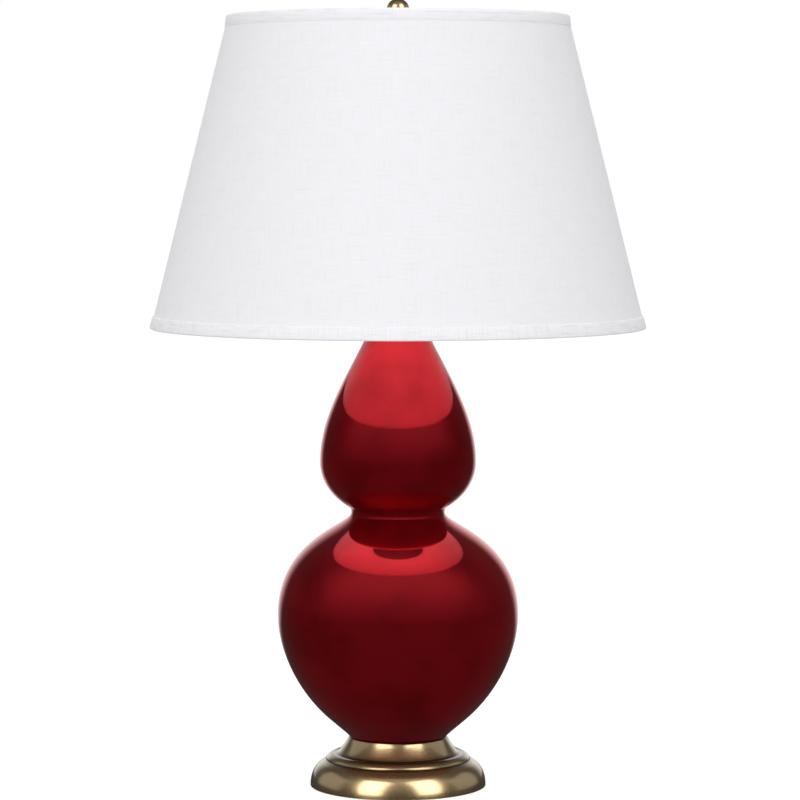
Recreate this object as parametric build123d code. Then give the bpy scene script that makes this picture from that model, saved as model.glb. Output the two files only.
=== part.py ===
from build123d import *

import os
from math import atan2, cos, degrees, hypot, radians, sin, tan

# Double gourd table lamp: a glazed ceramic body on a spun brass foot, with a three-way socket,
# a bulb, a harp, a tapered fabric shade and a ball finial.
#
# Millimetres, +Z up. The origin is the middle of the felt's underside, and the front is -Y.
# Heights run upwards in one chain: foot, body, neck, saddle, harp, shade and finial each start
# where the piece below them ends.

# ---- Clearances ---------------------------------------------------------------------------------
running_clearance = 0.05         # radial, where one piece turns or slides in another
fixed_clearance = 0.10           # radial, between fixed pieces one inside the other
lift_clearance = 0.30            # between pieces that lift apart
overrun = 1.0                    # cutters run past the faces they cut by this

# ---- Brass foot ---------------------------------------------------------------------------------
felt_thickness = 1.6
felt_proud = 0.3                 # how far the felt stands below the brass rim
felt_margin = 2.0                # board left bare around the felt
board_thickness = 3.0
board_gap = 0.4                  # radial room for the board inside the rim

foot_wall = 1.5
dome_width = 16.0                # rim to crease, level
dome_height = 26.1               # rim to crease, upright
dome_side = 19.6                 # upright pull of the dome's curve at the rim
dome_crown = 4.7                 # pull of the dome's curve at the crease
dome_slope = 28.6                # degrees below level where the dome meets the crease
bead_width = 8.6
bead_height = 5.8
bead_bulge = 2.9                 # control point height of the bead over its chord
step_width = 0.5                 # small step between bead and cove
step_height = 0.3
cove_width = 12.1
cove_height = 13.6
cove_low_pull = 3.0
cove_high_pull = 3.8
lip_height = 3.3
lip_taper = 1.3                  # neck of the foot narrows by this up to the lip
cup_depth = 6.2                  # lip down to the deck the ceramic stands on
cup_room = 1.6                   # radial room for the ceramic foot inside the lip

# ---- Cord inlet ---------------------------------------------------------------------------------
inlet_bore_radius = 3.2
bushing_wall = 1.0
bushing_flange = 1.5             # flange beyond the bushing's barrel
bushing_flange_thickness = 1.2
bushing_collar = 0.7             # snap collar beyond the barrel, inside the wall
bushing_collar_thickness = 1.6
bushing_inside = 10.0            # barrel behind the rim's radius
bushing_nose = 1.3               # barrel in front of the rim's radius

# ---- Clamping hardware under the deck -------------------------------------------------------------
pipe_radius = 5.1
pipe_bore_radius = 3.5
pipe_hole_room = 0.3             # radial room around the pipe in plain holes
pipe_below_nut = 6.0
washer_radius = 20.0
washer_thickness = 2.0
lock_washer_radius = 8.5
lock_washer_thickness = 1.5
lock_washer_split = 2.0
nut_across_flats = 17.5
nut_thickness = 5.0
gasket_thickness = 1.0
gasket_width = 12.0

# ---- Ceramic double gourd, each height a rise above the one before it --------------------------------
gourd_wall = 5.5
floor_hole_radius = 20.0
foot_ring_width = 7.0
foot_ring_height = 2.0
foot_edge_radius = 46.7          # where the straight foot ring ends and the swell starts
foot_edge_height = 3.5
foot_edge_slope = 69.0           # degrees above level
foot_edge_pull = 3.1
flare_radius = 72.1              # point on the lower swell
flare_rise = 26.5                # underside to that point
flare_slope = 42.2
flare_low_pull = 12.0
flare_high_pull = 43.1
belly_radius = 121.0             # widest point of the lower gourd
belly_rise = 102.7
belly_low_pull = 32.3
belly_high_pull = 71.2
waist_radius = 47.1
waist_rise = 103.2
waist_fillet = 6.0
waist_low_angle = 36.9           # degrees of the waist's fillet below its middle
waist_high_angle = 58.1          # degrees of the waist's fillet above its middle
waist_low_pull = 14.6
waist_high_pull = 20.5
lobe_radius = 78.4               # widest point of the upper gourd
lobe_rise = 51.0
lobe_low_pull = 20.3
lobe_high_pull = 41.7
taper_radius = 35.6              # point on the taper above the upper gourd
taper_rise = 117.6
taper_slope = 62.9
taper_low_pull = 43.2
taper_high_pull = 16.0
neck_radius = 20.9
neck_rise = 39.9
neck_straight = 8.0              # upright stretch under the neck's rim
neck_pull = 14.0
rim_fillet = 1.0

# ---- Neck hardware --------------------------------------------------------------------------------
cap_skirt = 6.0                  # depth of the brass cap's skirt over the ceramic neck
cap_wall = 1.6
cap_rise = 4.4                   # crown of the cap above its flat
cap_edge = 0.6                   # upright edge of the cap above the ceramic's rim
cap_boss_radius = 11.5
neck_tube_radius = 9.5
neck_tube_wall = 1.2
neck_tube_length = 12.5
check_ring_radius = 12.5
check_ring_thickness = 1.5

# ---- Harp and saddle ------------------------------------------------------------------------------
saddle_thickness = 1.6
saddle_width = 14.0
saddle_half_span = 27.0          # middle to the upright arms' mid-plane
saddle_bend = 2.5
saddle_arm_height = 7.0          # saddle's underside to the shoulder the harp stands on
finger_width = 3.0               # narrow finger above the shoulder
finger_length = 12.5
leg_gap = 0.5                    # finger to the harp's leg
harp_wire_radius = 1.8
harp_foot_radius = 5.2
harp_foot_thickness = 1.5
harp_leg_straight = 52.0         # straight leg above the shoulder
harp_bow_rise = 38.0             # height over which the leg bows out
harp_half_width = 57.0
harp_height = 239.7              # shoulder to the middle of the top wire
harp_low_bend = 30.0
harp_high_bend = 60.0
harp_crown_bend = 44.0
harp_pad_radius = 5.0
harp_pad_thickness = 4.2
ferrule_wall = 0.85
ferrule_skirt = 12.0
ferrule_collar = 3.5
ferrule_collar_wall = 1.3

# ---- Finial stud ----------------------------------------------------------------------------------
stud_shank_radius = 2.0
stud_head_radius = 3.4
stud_head_thickness = 1.2
stud_flange_thickness = 2.0
stud_thread_radius = 3.1
stud_thread_length = 11.0

# ---- Shade ----------------------------------------------------------------------------------------
shade_top_radius = 168.4         # fabric's outside at the top rim
shade_bottom_radius = 246.5      # fabric's outside at the bottom rim
shade_height = 310.7
shade_recess = 15.7              # top rim above the spider's seat
liner_thickness = 0.8
fabric_thickness = 0.8
trim_thickness = 1.2
top_trim_height = 11.5
top_trim_stand = 2.5             # how far the top trim stands off the fabric's rim
top_trim_edge = 0.5              # how far the top trim's lower edge stands off the fabric
top_trim_round = 3.0
bottom_trim_height = 12.7
bottom_trim_stand = 1.2          # how far the bottom trim stands off the fabric's rim
bottom_trim_edge = 1.5           # how far the bottom trim's upper edge stands off the fabric
bottom_trim_round = 1.9
trim_inner_height = 6.5          # trim turned over to the inside
top_wire_radius = 1.5
bottom_wire_radius = 1.6
spider_arm_count = 3
spider_wire_radius = 1.5
spider_washer_radius = 13.0
spider_washer_thickness = 1.6
spider_hole_radius = 3.6
spider_bend = 10.0
spider_rise_width = 14.0         # level length of the arms' raised ends

# ---- Finial ---------------------------------------------------------------------------------------
finial_height = 30.9
ball_radius = 11.35
finial_base_radius = 7.0
finial_base_height = 1.8
finial_neck_radius = 5.0
finial_cove = 1.6
finial_bore_room = 0.8           # bore above the stud's end

# ---- Socket ---------------------------------------------------------------------------------------
hub_radius = 8.6
hub_height = 5.0
cap_dome_height = 7.2            # hub's top to the socket cap's rim
socket_cap_radius = 17.3
socket_cap_wall = 1.0
socket_cap_rim = 7.5             # upright rim of the cap
cap_ledge_radius = 11.0
pipe_end_room = 1.0              # hub's bore above the pipe's end
set_screw_radius = 1.5
set_screw_length = 5.0
set_screw_slot_width = 0.6
socket_shell_wall = 0.6
socket_shell_length = 50.0
socket_lip = 0.7                 # rolled lip beyond the shell
insulator_wall = 0.8
insulator_short = 2.0            # insulator ends below the shell's lip
block_height = 22.0
block_flat = 11.5                # middle to the block's side flats
terminal_head_radius = 3.0
terminal_head_thickness = 1.4
terminal_shank_radius = 1.5
terminal_shank_length = 5.0
terminal_slot_width = 0.8
screw_slot_depth = 0.6
screw_shell_radius = 13.3        # inside of the screw shell's crests
screw_shell_wall = 0.35
screw_shell_length = 23.0
screw_shell_hole_radius = 9.0
thread_pitch = 3.63
thread_depth = 0.55
contact_thickness = 0.5
contact_width = 4.0
contact_height = 4.0
ring_contact_width = 2.4
ring_contact_span = 7.0

# ---- Switch ---------------------------------------------------------------------------------------
switch_height = 11.0             # shaft above the cap's ledge
switch_shaft_radius = 1.6
switch_shaft_depth = 10.0        # shaft inside the block
shaft_hole_room = 0.6
knob_gap = 2.0                   # between the socket shell and the knob
knob_length = 14.0
knob_radius = 5.5
knob_tip_radius = 4.2
knob_flute_count = 12
knob_flute_radius = 0.8
knob_flute_room = 0.3            # flutes' middle outside the knob's surface
knob_round = 1.6
knob_bore_depth = 9.0

# ---- Bulb -----------------------------------------------------------------------------------------
bulb_length = 134.0
bulb_radius = 33.5
bulb_tip_radius = 4.4
bulb_tip_depth = 2.5             # tip's solder inside the insulator
bulb_ring_radius = 6.6           # middle of the second contact's ring
bulb_ring_width = 2.0
bulb_ring_rise = 0.6             # second contact above the tip's face
bulb_ring_thickness = 0.4
bulb_insulator_height = 4.5
bulb_insulator_radius = 11.0
bulb_cap_radius = 13.0
bulb_cap_length = 22.0
bulb_cap_wall = 0.4
bulb_thread_depth = 0.35
bulb_thread_length = 14.6        # threaded part of the cap
glass_thickness = 1.0
glass_in_cap = 10.0              # glass neck inside the metal cap
bulb_neck_pull = 26.0
bulb_globe_pull = 28.0
stem_radius = 3.5
stem_height = 44.0
filament_wire_radius = 0.5
filament_half_span = 13.0
filament_rise = 40.0
filament_lead = 6.0

# ---- Heights of the chain ---------------------------------------------------------------------------
rim_z = felt_proud
crease_z = rim_z + dome_height
step_z = crease_z + bead_height
cove_z = step_z + step_height
collar_z = cove_z + cove_height
lip_z = collar_z + lip_height
deck_z = lip_z - cup_depth
deck_under_z = deck_z - foot_wall
board_top_z = felt_thickness + board_thickness
gourd_z = deck_z + gasket_thickness
flare_z = gourd_z + flare_rise
belly_z = flare_z + belly_rise
waist_z = belly_z + waist_rise
lobe_z = waist_z + lobe_rise
taper_z = lobe_z + taper_rise
neck_top_z = taper_z + neck_rise
tube_z = neck_top_z + cap_wall + cap_rise
check_ring_z = tube_z + neck_tube_length
saddle_z = check_ring_z + check_ring_thickness
socket_z = saddle_z + saddle_thickness
dome_z = socket_z + hub_height
socket_ledge_z = dome_z + cap_dome_height
socket_cap_top_z = socket_ledge_z + socket_cap_rim
pipe_top_z = socket_z + hub_height
block_top_z = socket_ledge_z + block_height
bulb_z = block_top_z + contact_height
switch_z = socket_ledge_z + switch_height
shoulder_z = saddle_z + saddle_arm_height
harp_top_z = shoulder_z + harp_height
pad_top_z = harp_top_z + harp_pad_thickness / 2
pad_under_z = harp_top_z - harp_pad_thickness / 2
seat_z = pad_top_z + stud_flange_thickness
finial_z = seat_z + spider_washer_thickness
shade_top_z = seat_z + shade_recess
shade_bottom_z = shade_top_z - shade_height

# ---- Radii that follow -------------------------------------------------------------------------------
lip_inner_radius = foot_edge_radius + cup_room
lip_outer_radius = lip_inner_radius + foot_wall
collar_radius = lip_outer_radius + lip_taper
cove_radius = collar_radius + cove_width
step_radius = cove_radius + step_width
crease_radius = step_radius + bead_width
foot_radius = crease_radius + dome_width
pipe_hole_radius = pipe_radius + pipe_hole_room
thread_bore_radius = pipe_radius + fixed_clearance
board_radius = foot_radius - foot_wall - board_gap
bushing_radius = inlet_bore_radius + bushing_wall
bushing_z = board_top_z + bushing_radius + bushing_collar + lift_clearance
leg_x = saddle_half_span + saddle_thickness / 2 + leg_gap + harp_wire_radius
finger_reach = hypot(leg_x - saddle_half_span + saddle_thickness / 2, finger_width / 2)
ferrule_bore_radius = finger_reach + fixed_clearance
shell_radius = socket_cap_radius - socket_cap_wall - fixed_clearance
insulator_radius = shell_radius - socket_shell_wall - fixed_clearance
block_radius = insulator_radius - insulator_wall - fixed_clearance
top_trim_radius = shade_top_radius + top_trim_stand
bottom_trim_radius = shade_bottom_radius + bottom_trim_stand
shade_slope = (shade_bottom_radius - shade_top_radius) / shade_height
shade_tilt = atan2(shade_bottom_radius - shade_top_radius, shade_height)


# ---- Helpers -----------------------------------------------------------------------------------------
def turned(edges):
    """Solid of revolution about Z of a closed outline drawn as (radius, height)."""
    return revolve(Plane.XZ * make_face(edges), Axis.Z)


def turned_polygon(*points):
    """Solid of revolution about Z of a straight-sided outline drawn as (radius, height)."""
    return turned([Polyline(*points, close=True)])


def ring(inner, outer, low, high):
    """Plain ring or tube about Z between two radii and two heights."""
    return Pos(0, 0, low) * extrude(Circle(outer) - Circle(inner), high - low)


def disc(radius, low, high):
    """Plain disc or rod about Z between two heights."""
    return Pos(0, 0, low) * extrude(Circle(radius), high - low)


def rod_along_y(radius, start, end, height):
    """Round rod parallel to Y, centred over the Y axis at a height."""
    return Pos(0, start, height) * extrude(Plane.XZ.rotated((180, 0, 0)) * Circle(radius), end - start)


def bent_wire(path, radius):
    """Round wire along a path."""
    return sweep(Plane(origin=path @ 0, z_dir=path % 0) * Circle(radius), path)


def bent_strip(path, width, thickness, across):
    """Flat strip along a path, its width along the direction across."""
    section = Plane(origin=path @ 0, x_dir=across, z_dir=path % 0) * Rectangle(width, thickness)
    return sweep(section, path)


def polar(origin, angle, distance):
    """Point at a distance and an angle in degrees above level from an origin."""
    return (origin[0] + distance * cos(radians(angle)), origin[1] + distance * sin(radians(angle)))


def ridged_side(radius, low, high, pitch, depth, count):
    """Upright side from low to high with evenly spaced rounded ridges standing out by depth."""
    edges = []
    start = (low + high - count * pitch) / 2
    height = low
    for index in range(count):
        ridge_low = start + index * pitch
        ridge_high = ridge_low + 0.7 * pitch
        edges.append(Line((radius, height), (radius, ridge_low)))
        edges.append(ThreePointArc((radius, ridge_low), (radius + depth, (ridge_low + ridge_high) / 2),
                                   (radius, ridge_high)))
        height = ridge_high
    edges.append(Line((radius, height), (radius, high)))
    return edges


# ---- Foot ----------------------------------------------------------------------------------------------
def dome_curve(inset):
    """Dome of the foot from rim to crease, moved inwards by an inset."""
    crease = polar((crease_radius, crease_z), 270 - dome_slope, inset)
    pull = polar(crease, -dome_slope, dome_crown)
    side = foot_radius - inset
    return Bezier((side, rim_z), (side, rim_z + dome_side), pull, crease)


def dome_solid(inset):
    """Everything under the dome, moved inwards by an inset."""
    curve = dome_curve(inset)
    top = (0, (curve @ 1).Y)
    return turned([curve, Polyline(tuple(curve @ 1)[:2], top, (0, rim_z), tuple(curve @ 0)[:2])])


def spun_foot():
    """Whole brass foot: dome, bead, cove, and the cup and deck that carry the ceramic."""
    outer_dome = dome_curve(0)
    inner_dome = dome_curve(foot_wall)
    chord = degrees(atan2(bead_height, -bead_width))
    bead_start = (crease_radius, crease_z)
    bead_end = (step_radius, step_z)
    bead = Bezier(bead_start, polar(bead_start, chord - 90, bead_bulge),
                  polar(bead_end, chord - 90, bead_bulge), bead_end)
    cove_start = (cove_radius, cove_z)
    cove_end = (collar_radius, collar_z)
    taper_angle = degrees(atan2(lip_height - foot_wall / 2, -lip_taper))
    cove = Bezier(cove_start, (cove_radius - cove_low_pull, cove_z),
                  polar(cove_end, taper_angle + 180, cove_high_pull), cove_end)
    lip_shoulder = (lip_outer_radius, lip_z - foot_wall / 2)
    lip_inside = (lip_inner_radius, lip_z - foot_wall / 2)
    lip = ThreePointArc(lip_shoulder, (lip_inner_radius + foot_wall / 2, lip_z), lip_inside)
    inner_neck = (collar_radius - foot_wall, deck_under_z)
    inner_cove = (cove_radius, cove_z - foot_wall)
    under = Bezier(inner_neck, (inner_neck[0], deck_under_z - cove_high_pull),
                   (cove_radius - cove_low_pull, cove_z - foot_wall), inner_cove)
    return turned([
        outer_dome, bead, Line(bead_end, cove_start), cove, Line(cove_end, lip_shoulder), lip,
        Polyline(lip_inside, (lip_inner_radius, deck_z), (pipe_hole_radius, deck_z),
                 (pipe_hole_radius, deck_under_z), inner_neck),
        under, Line(inner_cove, tuple(inner_dome @ 1)[:2]), inner_dome,
        Line(tuple(inner_dome @ 0)[:2], tuple(outer_dome @ 0)[:2]),
    ])


def foot_seam():
    """Cutter for everything inside the seam where the cup sits in the skirt."""
    return disc(cove_radius, rim_z - overrun, lip_z + overrun)


def foot_skirt():
    """Spun brass skirt: dome and bead, with the rear hole for the bushing."""
    hole = rod_along_y(bushing_radius + fixed_clearance, 0, foot_radius + overrun, bushing_z)
    return spun_foot() - foot_seam() - hole


def foot_cup():
    """Spun brass cup in the skirt: cove, neck and lip, and the deck under the ceramic."""
    return spun_foot() & foot_seam()


def felt_pad():
    return disc(board_radius - felt_margin, 0, felt_thickness)


def bottom_board():
    return disc(board_radius, felt_thickness, board_top_z)


def cord_bushing():
    """Snap bushing in the rear wall: flange outside, collar inside, both following the dome."""
    outside = dome_solid(-bushing_flange_thickness) - dome_solid(0)
    snap = foot_wall + fixed_clearance
    inside = dome_solid(snap) - dome_solid(snap + bushing_collar_thickness)
    back = foot_radius - bushing_inside
    front = foot_radius + bushing_nose
    barrel = rod_along_y(bushing_radius, back, front, bushing_z)
    flange = rod_along_y(bushing_radius + bushing_flange, back, front, bushing_z) & outside
    collar = rod_along_y(bushing_radius + bushing_collar, back, front, bushing_z) & inside
    bore = rod_along_y(inlet_bore_radius, back - overrun, front + overrun, bushing_z)
    return barrel + flange + collar - bore


# ---- Clamping hardware ---------------------------------------------------------------------------------
washer_under_z = deck_under_z - washer_thickness
lock_under_z = washer_under_z - lock_washer_thickness
nut_under_z = lock_under_z - nut_thickness


def clamp_washer():
    return ring(pipe_hole_radius, washer_radius, washer_under_z, deck_under_z)


def lock_washer():
    """Split spring washer, closed flat under load."""
    split = Box(lock_washer_radius, lock_washer_split, 2 * lock_washer_thickness,
                align=(Align.MIN, Align.CENTER, Align.CENTER))
    whole = ring(pipe_hole_radius, lock_washer_radius, lock_under_z, washer_under_z)
    return whole - Pos(0, 0, washer_under_z) * (Rot(0, 0, 90) * split)


def lower_nut():
    """Hexagon nut on the lower end of the pipe."""
    hexagon = RegularPolygon(nut_across_flats / 2, 6, major_radius=False)
    return Pos(0, 0, nut_under_z) * extrude(hexagon - Circle(thread_bore_radius), nut_thickness)


def threaded_pipe():
    """Pipe that clamps foot, ceramic and neck hardware between the nut and the socket."""
    return ring(pipe_bore_radius, pipe_radius, nut_under_z - pipe_below_nut, pipe_top_z)


def seat_gasket():
    """Soft ring between the deck and the ceramic's foot ring."""
    outer = lip_inner_radius - fixed_clearance
    return ring(outer - gasket_width, outer, deck_z, gourd_z)


# ---- Ceramic body --------------------------------------------------------------------------------------
def gourd_side(inset):
    """Edges of the body's side from the flare up to the neck, moved inwards by an inset."""
    flare = polar((flare_radius, flare_z), flare_slope + 90, inset)
    belly = (belly_radius - inset, belly_z)
    middle = (waist_radius + waist_fillet, waist_z)
    fillet = waist_fillet + inset
    waist_low = polar(middle, 180 + waist_low_angle, fillet)
    waist_high = polar(middle, 180 - waist_high_angle, fillet)
    lobe = (lobe_radius - inset, lobe_z)
    taper = polar((taper_radius, taper_z), 180 + 90 - taper_slope, inset)
    neck = (neck_radius - inset, neck_top_z - neck_straight)
    return [
        Bezier(flare, polar(flare, flare_slope, flare_high_pull),
               (belly[0], belly[1] - belly_low_pull), belly),
        Bezier(belly, (belly[0], belly[1] + belly_high_pull),
               polar(waist_low, waist_low_angle - 90, waist_low_pull), waist_low),
        ThreePointArc(waist_low, (middle[0] - fillet, middle[1]), waist_high),
        Bezier(waist_high, polar(waist_high, 90 - waist_high_angle, waist_high_pull),
               (lobe[0], lobe[1] - lobe_low_pull), lobe),
        Bezier(lobe, (lobe[0], lobe[1] + lobe_high_pull),
               polar(taper, -taper_slope, taper_low_pull), taper),
        Bezier(taper, polar(taper, 180 - taper_slope, taper_high_pull),
               (neck[0], neck[1] - neck_pull), neck),
    ]


def double_gourd():
    """Whole double gourd with an even wall, a foot ring and a pour hole in its floor."""
    outer = gourd_side(0)
    inner = gourd_side(gourd_wall)
    edge = (foot_edge_radius, gourd_z + foot_edge_height)
    ground = (foot_edge_radius - foot_edge_height / tan(radians(foot_edge_slope)), gourd_z)
    flare = tuple(outer[0] @ 0)[:2]
    swell = Bezier(edge, polar(edge, foot_edge_slope, foot_edge_pull),
                   polar(flare, flare_slope + 180, flare_low_pull), flare)
    floor_z = gourd_z + foot_ring_height + gourd_wall
    inner_flare = tuple(inner[0] @ 0)[:2]
    floor_edge = (ground[0] - foot_ring_width / 2, floor_z)
    inner_swell = Bezier(inner_flare, polar(inner_flare, flare_slope + 180, flare_low_pull),
                         (floor_edge[0] + foot_ring_width / 2, floor_z), floor_edge)
    ring_inside = ground[0] - foot_ring_width
    ring_top = gourd_z + foot_ring_height
    outside_rim = (neck_radius, neck_top_z - neck_straight)
    inside_rim = (neck_radius - gourd_wall, neck_top_z - neck_straight)
    body = turned([
        Line(ground, edge), swell, *outer,
        Polyline(outside_rim, (neck_radius, neck_top_z), (inside_rim[0], neck_top_z), inside_rim),
        *inner, inner_swell,
        Polyline(floor_edge, (floor_hole_radius, floor_z), (floor_hole_radius, ring_top),
                 (ring_inside, ring_top), (ring_inside, gourd_z), ground),
    ])
    return fillet(body.edges().group_by(Axis.Z)[-1], rim_fillet)


def gourd_bowl():
    """Lower half of the lower gourd, thrown by itself and open at the belly."""
    return split(double_gourd(), Plane.XY.offset(belly_z), keep=Keep.BOTTOM)


def gourd_shoulder():
    """Upper half of the lower gourd, luted to the bowl at the belly and open at the waist."""
    above = split(double_gourd(), Plane.XY.offset(belly_z), keep=Keep.TOP)
    return split(above, Plane.XY.offset(waist_z), keep=Keep.BOTTOM)


def gourd_upper():
    """Upper gourd with the neck, luted onto the shoulder at the waist."""
    return split(double_gourd(), Plane.XY.offset(waist_z), keep=Keep.TOP)


# ---- Neck hardware -------------------------------------------------------------------------------------
def vase_cap():
    """Brass cap over the ceramic neck, with a crowned top that carries the neck tube."""
    inside = neck_radius + lift_clearance
    outside = inside + cap_wall
    skirt_z = neck_top_z - cap_skirt
    edge_z = neck_top_z + cap_edge
    crown = Bezier((outside, edge_z), (outside, neck_top_z + cap_wall + cap_rise / 2),
                   (cap_boss_radius + cap_rise, tube_z), (cap_boss_radius, tube_z))
    return turned([
        Polyline((inside, neck_top_z), (inside, skirt_z), (outside, skirt_z),
                 (outside, edge_z)),
        crown,
        Polyline((cap_boss_radius, tube_z), (pipe_hole_radius, tube_z),
                 (pipe_hole_radius, neck_top_z), (inside, neck_top_z)),
    ])


def neck_tube():
    return ring(neck_tube_radius - neck_tube_wall, neck_tube_radius, tube_z, check_ring_z)


def check_ring():
    return ring(pipe_hole_radius, check_ring_radius, check_ring_z, saddle_z)


# ---- Harp ----------------------------------------------------------------------------------------------
def harp_saddle():
    """Steel strip under the socket, its ends turned up into arms with narrow fingers."""
    arm_top = shoulder_z + finger_length
    middle_z = saddle_z + saddle_thickness / 2
    path = Plane.XZ * FilletPolyline((-saddle_half_span, arm_top), (-saddle_half_span, middle_z),
                                     (saddle_half_span, middle_z), (saddle_half_span, arm_top),
                                     radius=saddle_bend)
    strip = bent_strip(path, saddle_width, saddle_thickness, Vector(0, 1, 0))
    beside = (saddle_width - finger_width) / 2
    relief = Box(3 * saddle_thickness, beside, finger_length + overrun,
                 align=(Align.CENTER, Align.MIN, Align.MIN))
    for side in (-1, 1):
        for front in (-1, 1):
            turn = 180 if front < 0 else 0
            place = Pos(side * saddle_half_span, front * finger_width / 2, shoulder_z)
            strip -= place * (Rot(0, 0, turn) * relief)
    return strip - disc(pipe_hole_radius, saddle_z - overrun, socket_z + overrun)


def harp_wire():
    """Harp: bent wire with slotted feet on the saddle's shoulders and a pad for the stud."""
    bow_low = shoulder_z + harp_leg_straight
    bow_high = bow_low + harp_bow_rise
    right = [(leg_x, shoulder_z), (leg_x, bow_low), (harp_half_width, bow_high),
             (harp_half_width, harp_top_z)]
    left = [(-x, z) for x, z in reversed(right)]
    radii = [harp_low_bend, harp_high_bend, harp_crown_bend]
    path = Plane.XZ * FilletPolyline(*right, *left, radius=radii + radii[::-1])
    harp = bent_wire(path, harp_wire_radius)
    slot = Box(saddle_thickness + 2 * lift_clearance, finger_width + 2 * lift_clearance,
               4 * harp_foot_thickness)
    for side in (-1, 1):
        foot = Pos(side * leg_x, 0, 0) * disc(harp_foot_radius, shoulder_z,
                                              shoulder_z + harp_foot_thickness)
        harp += foot - Pos(side * saddle_half_span, 0, shoulder_z) * slot
    harp += disc(harp_pad_radius, pad_under_z, pad_top_z)
    shank_hole = stud_shank_radius + running_clearance
    return harp - disc(shank_hole, pad_under_z - overrun, pad_top_z + overrun)


def ferrule(side):
    """Sleeve that locks one leg of the harp to its finger: wide skirt and a close collar."""
    low = shoulder_z + harp_foot_thickness
    ceiling = low + ferrule_skirt
    top = ceiling + ferrule_collar
    close = harp_wire_radius + running_clearance
    collar_radius_outer = close + ferrule_collar_wall
    skirt_radius = ferrule_bore_radius + ferrule_wall
    sleeve = turned([
        Polyline((ferrule_bore_radius, low), (skirt_radius, low), (skirt_radius, ceiling)),
        Bezier((skirt_radius, ceiling), (skirt_radius, ceiling + ferrule_collar / 2),
               (collar_radius_outer, ceiling + ferrule_collar / 2), (collar_radius_outer, top)),
        Polyline((collar_radius_outer, top), (close, top), (close, ceiling),
                 (ferrule_bore_radius, ceiling), (ferrule_bore_radius, low)),
    ])
    return Pos(side * leg_x, 0, 0) * sleeve


def harp_stud():
    """Threaded stud riveted in the harp's pad, free to turn, with the flange the shade sits on."""
    shank = disc(stud_shank_radius, pad_under_z - stud_head_thickness, seat_z)
    head = disc(stud_head_radius, pad_under_z - stud_head_thickness, pad_under_z)
    flange = disc(harp_pad_radius, pad_top_z, seat_z)
    thread = disc(stud_thread_radius, seat_z, seat_z + stud_thread_length)
    return shank + head + flange + chamfer(thread.edges().group_by(Axis.Z)[-1], 0.6)


# ---- Shade ---------------------------------------------------------------------------------------------
def shade_radius(height):
    """Radius of the fabric's outside at a height."""
    return shade_top_radius + (shade_top_z - height) * shade_slope


def layer(outer_depth, inner_depth):
    """Cone-shaped layer of the shade between two depths under the fabric's outside."""
    low = shade_bottom_z + trim_thickness
    high = shade_top_z - trim_thickness
    outer = outer_depth / cos(shade_tilt)
    inner = inner_depth / cos(shade_tilt)
    return turned_polygon((shade_radius(low) - outer, low), (shade_radius(high) - outer, high),
                          (shade_radius(high) - inner, high), (shade_radius(low) - inner, low))


def shade_fabric():
    return layer(0, fabric_thickness)


def shade_liner():
    return layer(fabric_thickness, fabric_thickness + liner_thickness)


def wire_place(wire_radius, rim_height, inwards):
    """Radius and height of a rim wire's middle, tucked under the trim against the liner."""
    height = rim_height + inwards * (trim_thickness + fixed_clearance + wire_radius)
    depth = (fabric_thickness + liner_thickness + fixed_clearance + wire_radius) / cos(shade_tilt)
    return shade_radius(height) - depth, height


def rim_wire(wire_radius, rim_height, inwards):
    """Steel wire ring inside one rim of the shade."""
    radius, height = wire_place(wire_radius, rim_height, inwards)
    return Pos(0, 0, height) * Torus(radius, wire_radius)


def top_ring():
    return rim_wire(top_wire_radius, shade_top_z, -1)


def bottom_ring():
    return rim_wire(bottom_wire_radius, shade_bottom_z, 1)


def rim_trim(wire_radius, rim_height, inwards, tape_height, rim_radius, edge_stand, rounding):
    """Tape folded over one rim: an outer leg on the fabric, the rounded rim, and an inner leg."""
    wire_r, _ = wire_place(wire_radius, rim_height, inwards)
    edge_z = rim_height + inwards * tape_height
    inner_z = rim_height + inwards * trim_inner_height
    hollow_z = rim_height + inwards * trim_thickness
    round_z = rim_height + inwards * rounding
    stand = fixed_clearance / 2
    pocket = wire_r - wire_radius - fixed_clearance
    back = pocket - trim_thickness
    corner = rounding * (1 - cos(radians(45)))
    inner_round = trim_thickness
    inner_corner = inner_round * (1 - cos(radians(45)))
    return turned([
        Polyline((shade_radius(hollow_z) + stand, hollow_z), (shade_radius(edge_z) + stand, edge_z),
                 (shade_radius(edge_z) + edge_stand, edge_z), (rim_radius, round_z)),
        ThreePointArc((rim_radius, round_z), (rim_radius - corner, rim_height + inwards * corner),
                      (rim_radius - rounding, rim_height)),
        Line((rim_radius - rounding, rim_height), (back + inner_round, rim_height)),
        ThreePointArc((back + inner_round, rim_height),
                      (back + inner_corner, rim_height + inwards * inner_corner),
                      (back, rim_height + inwards * inner_round)),
        Polyline((back, rim_height + inwards * inner_round), (back, inner_z), (pocket, inner_z),
                 (pocket, hollow_z), (shade_radius(hollow_z) + stand, hollow_z)),
    ])


def top_trim():
    """Top tape, notched around the spider's arms."""
    tape = rim_trim(top_wire_radius, shade_top_z, -1, top_trim_height, top_trim_radius,
                    top_trim_edge, top_trim_round)
    return tape - spider()


def bottom_trim():
    return rim_trim(bottom_wire_radius, shade_bottom_z, 1, bottom_trim_height,
                    bottom_trim_radius, bottom_trim_edge, bottom_trim_round)


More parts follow.
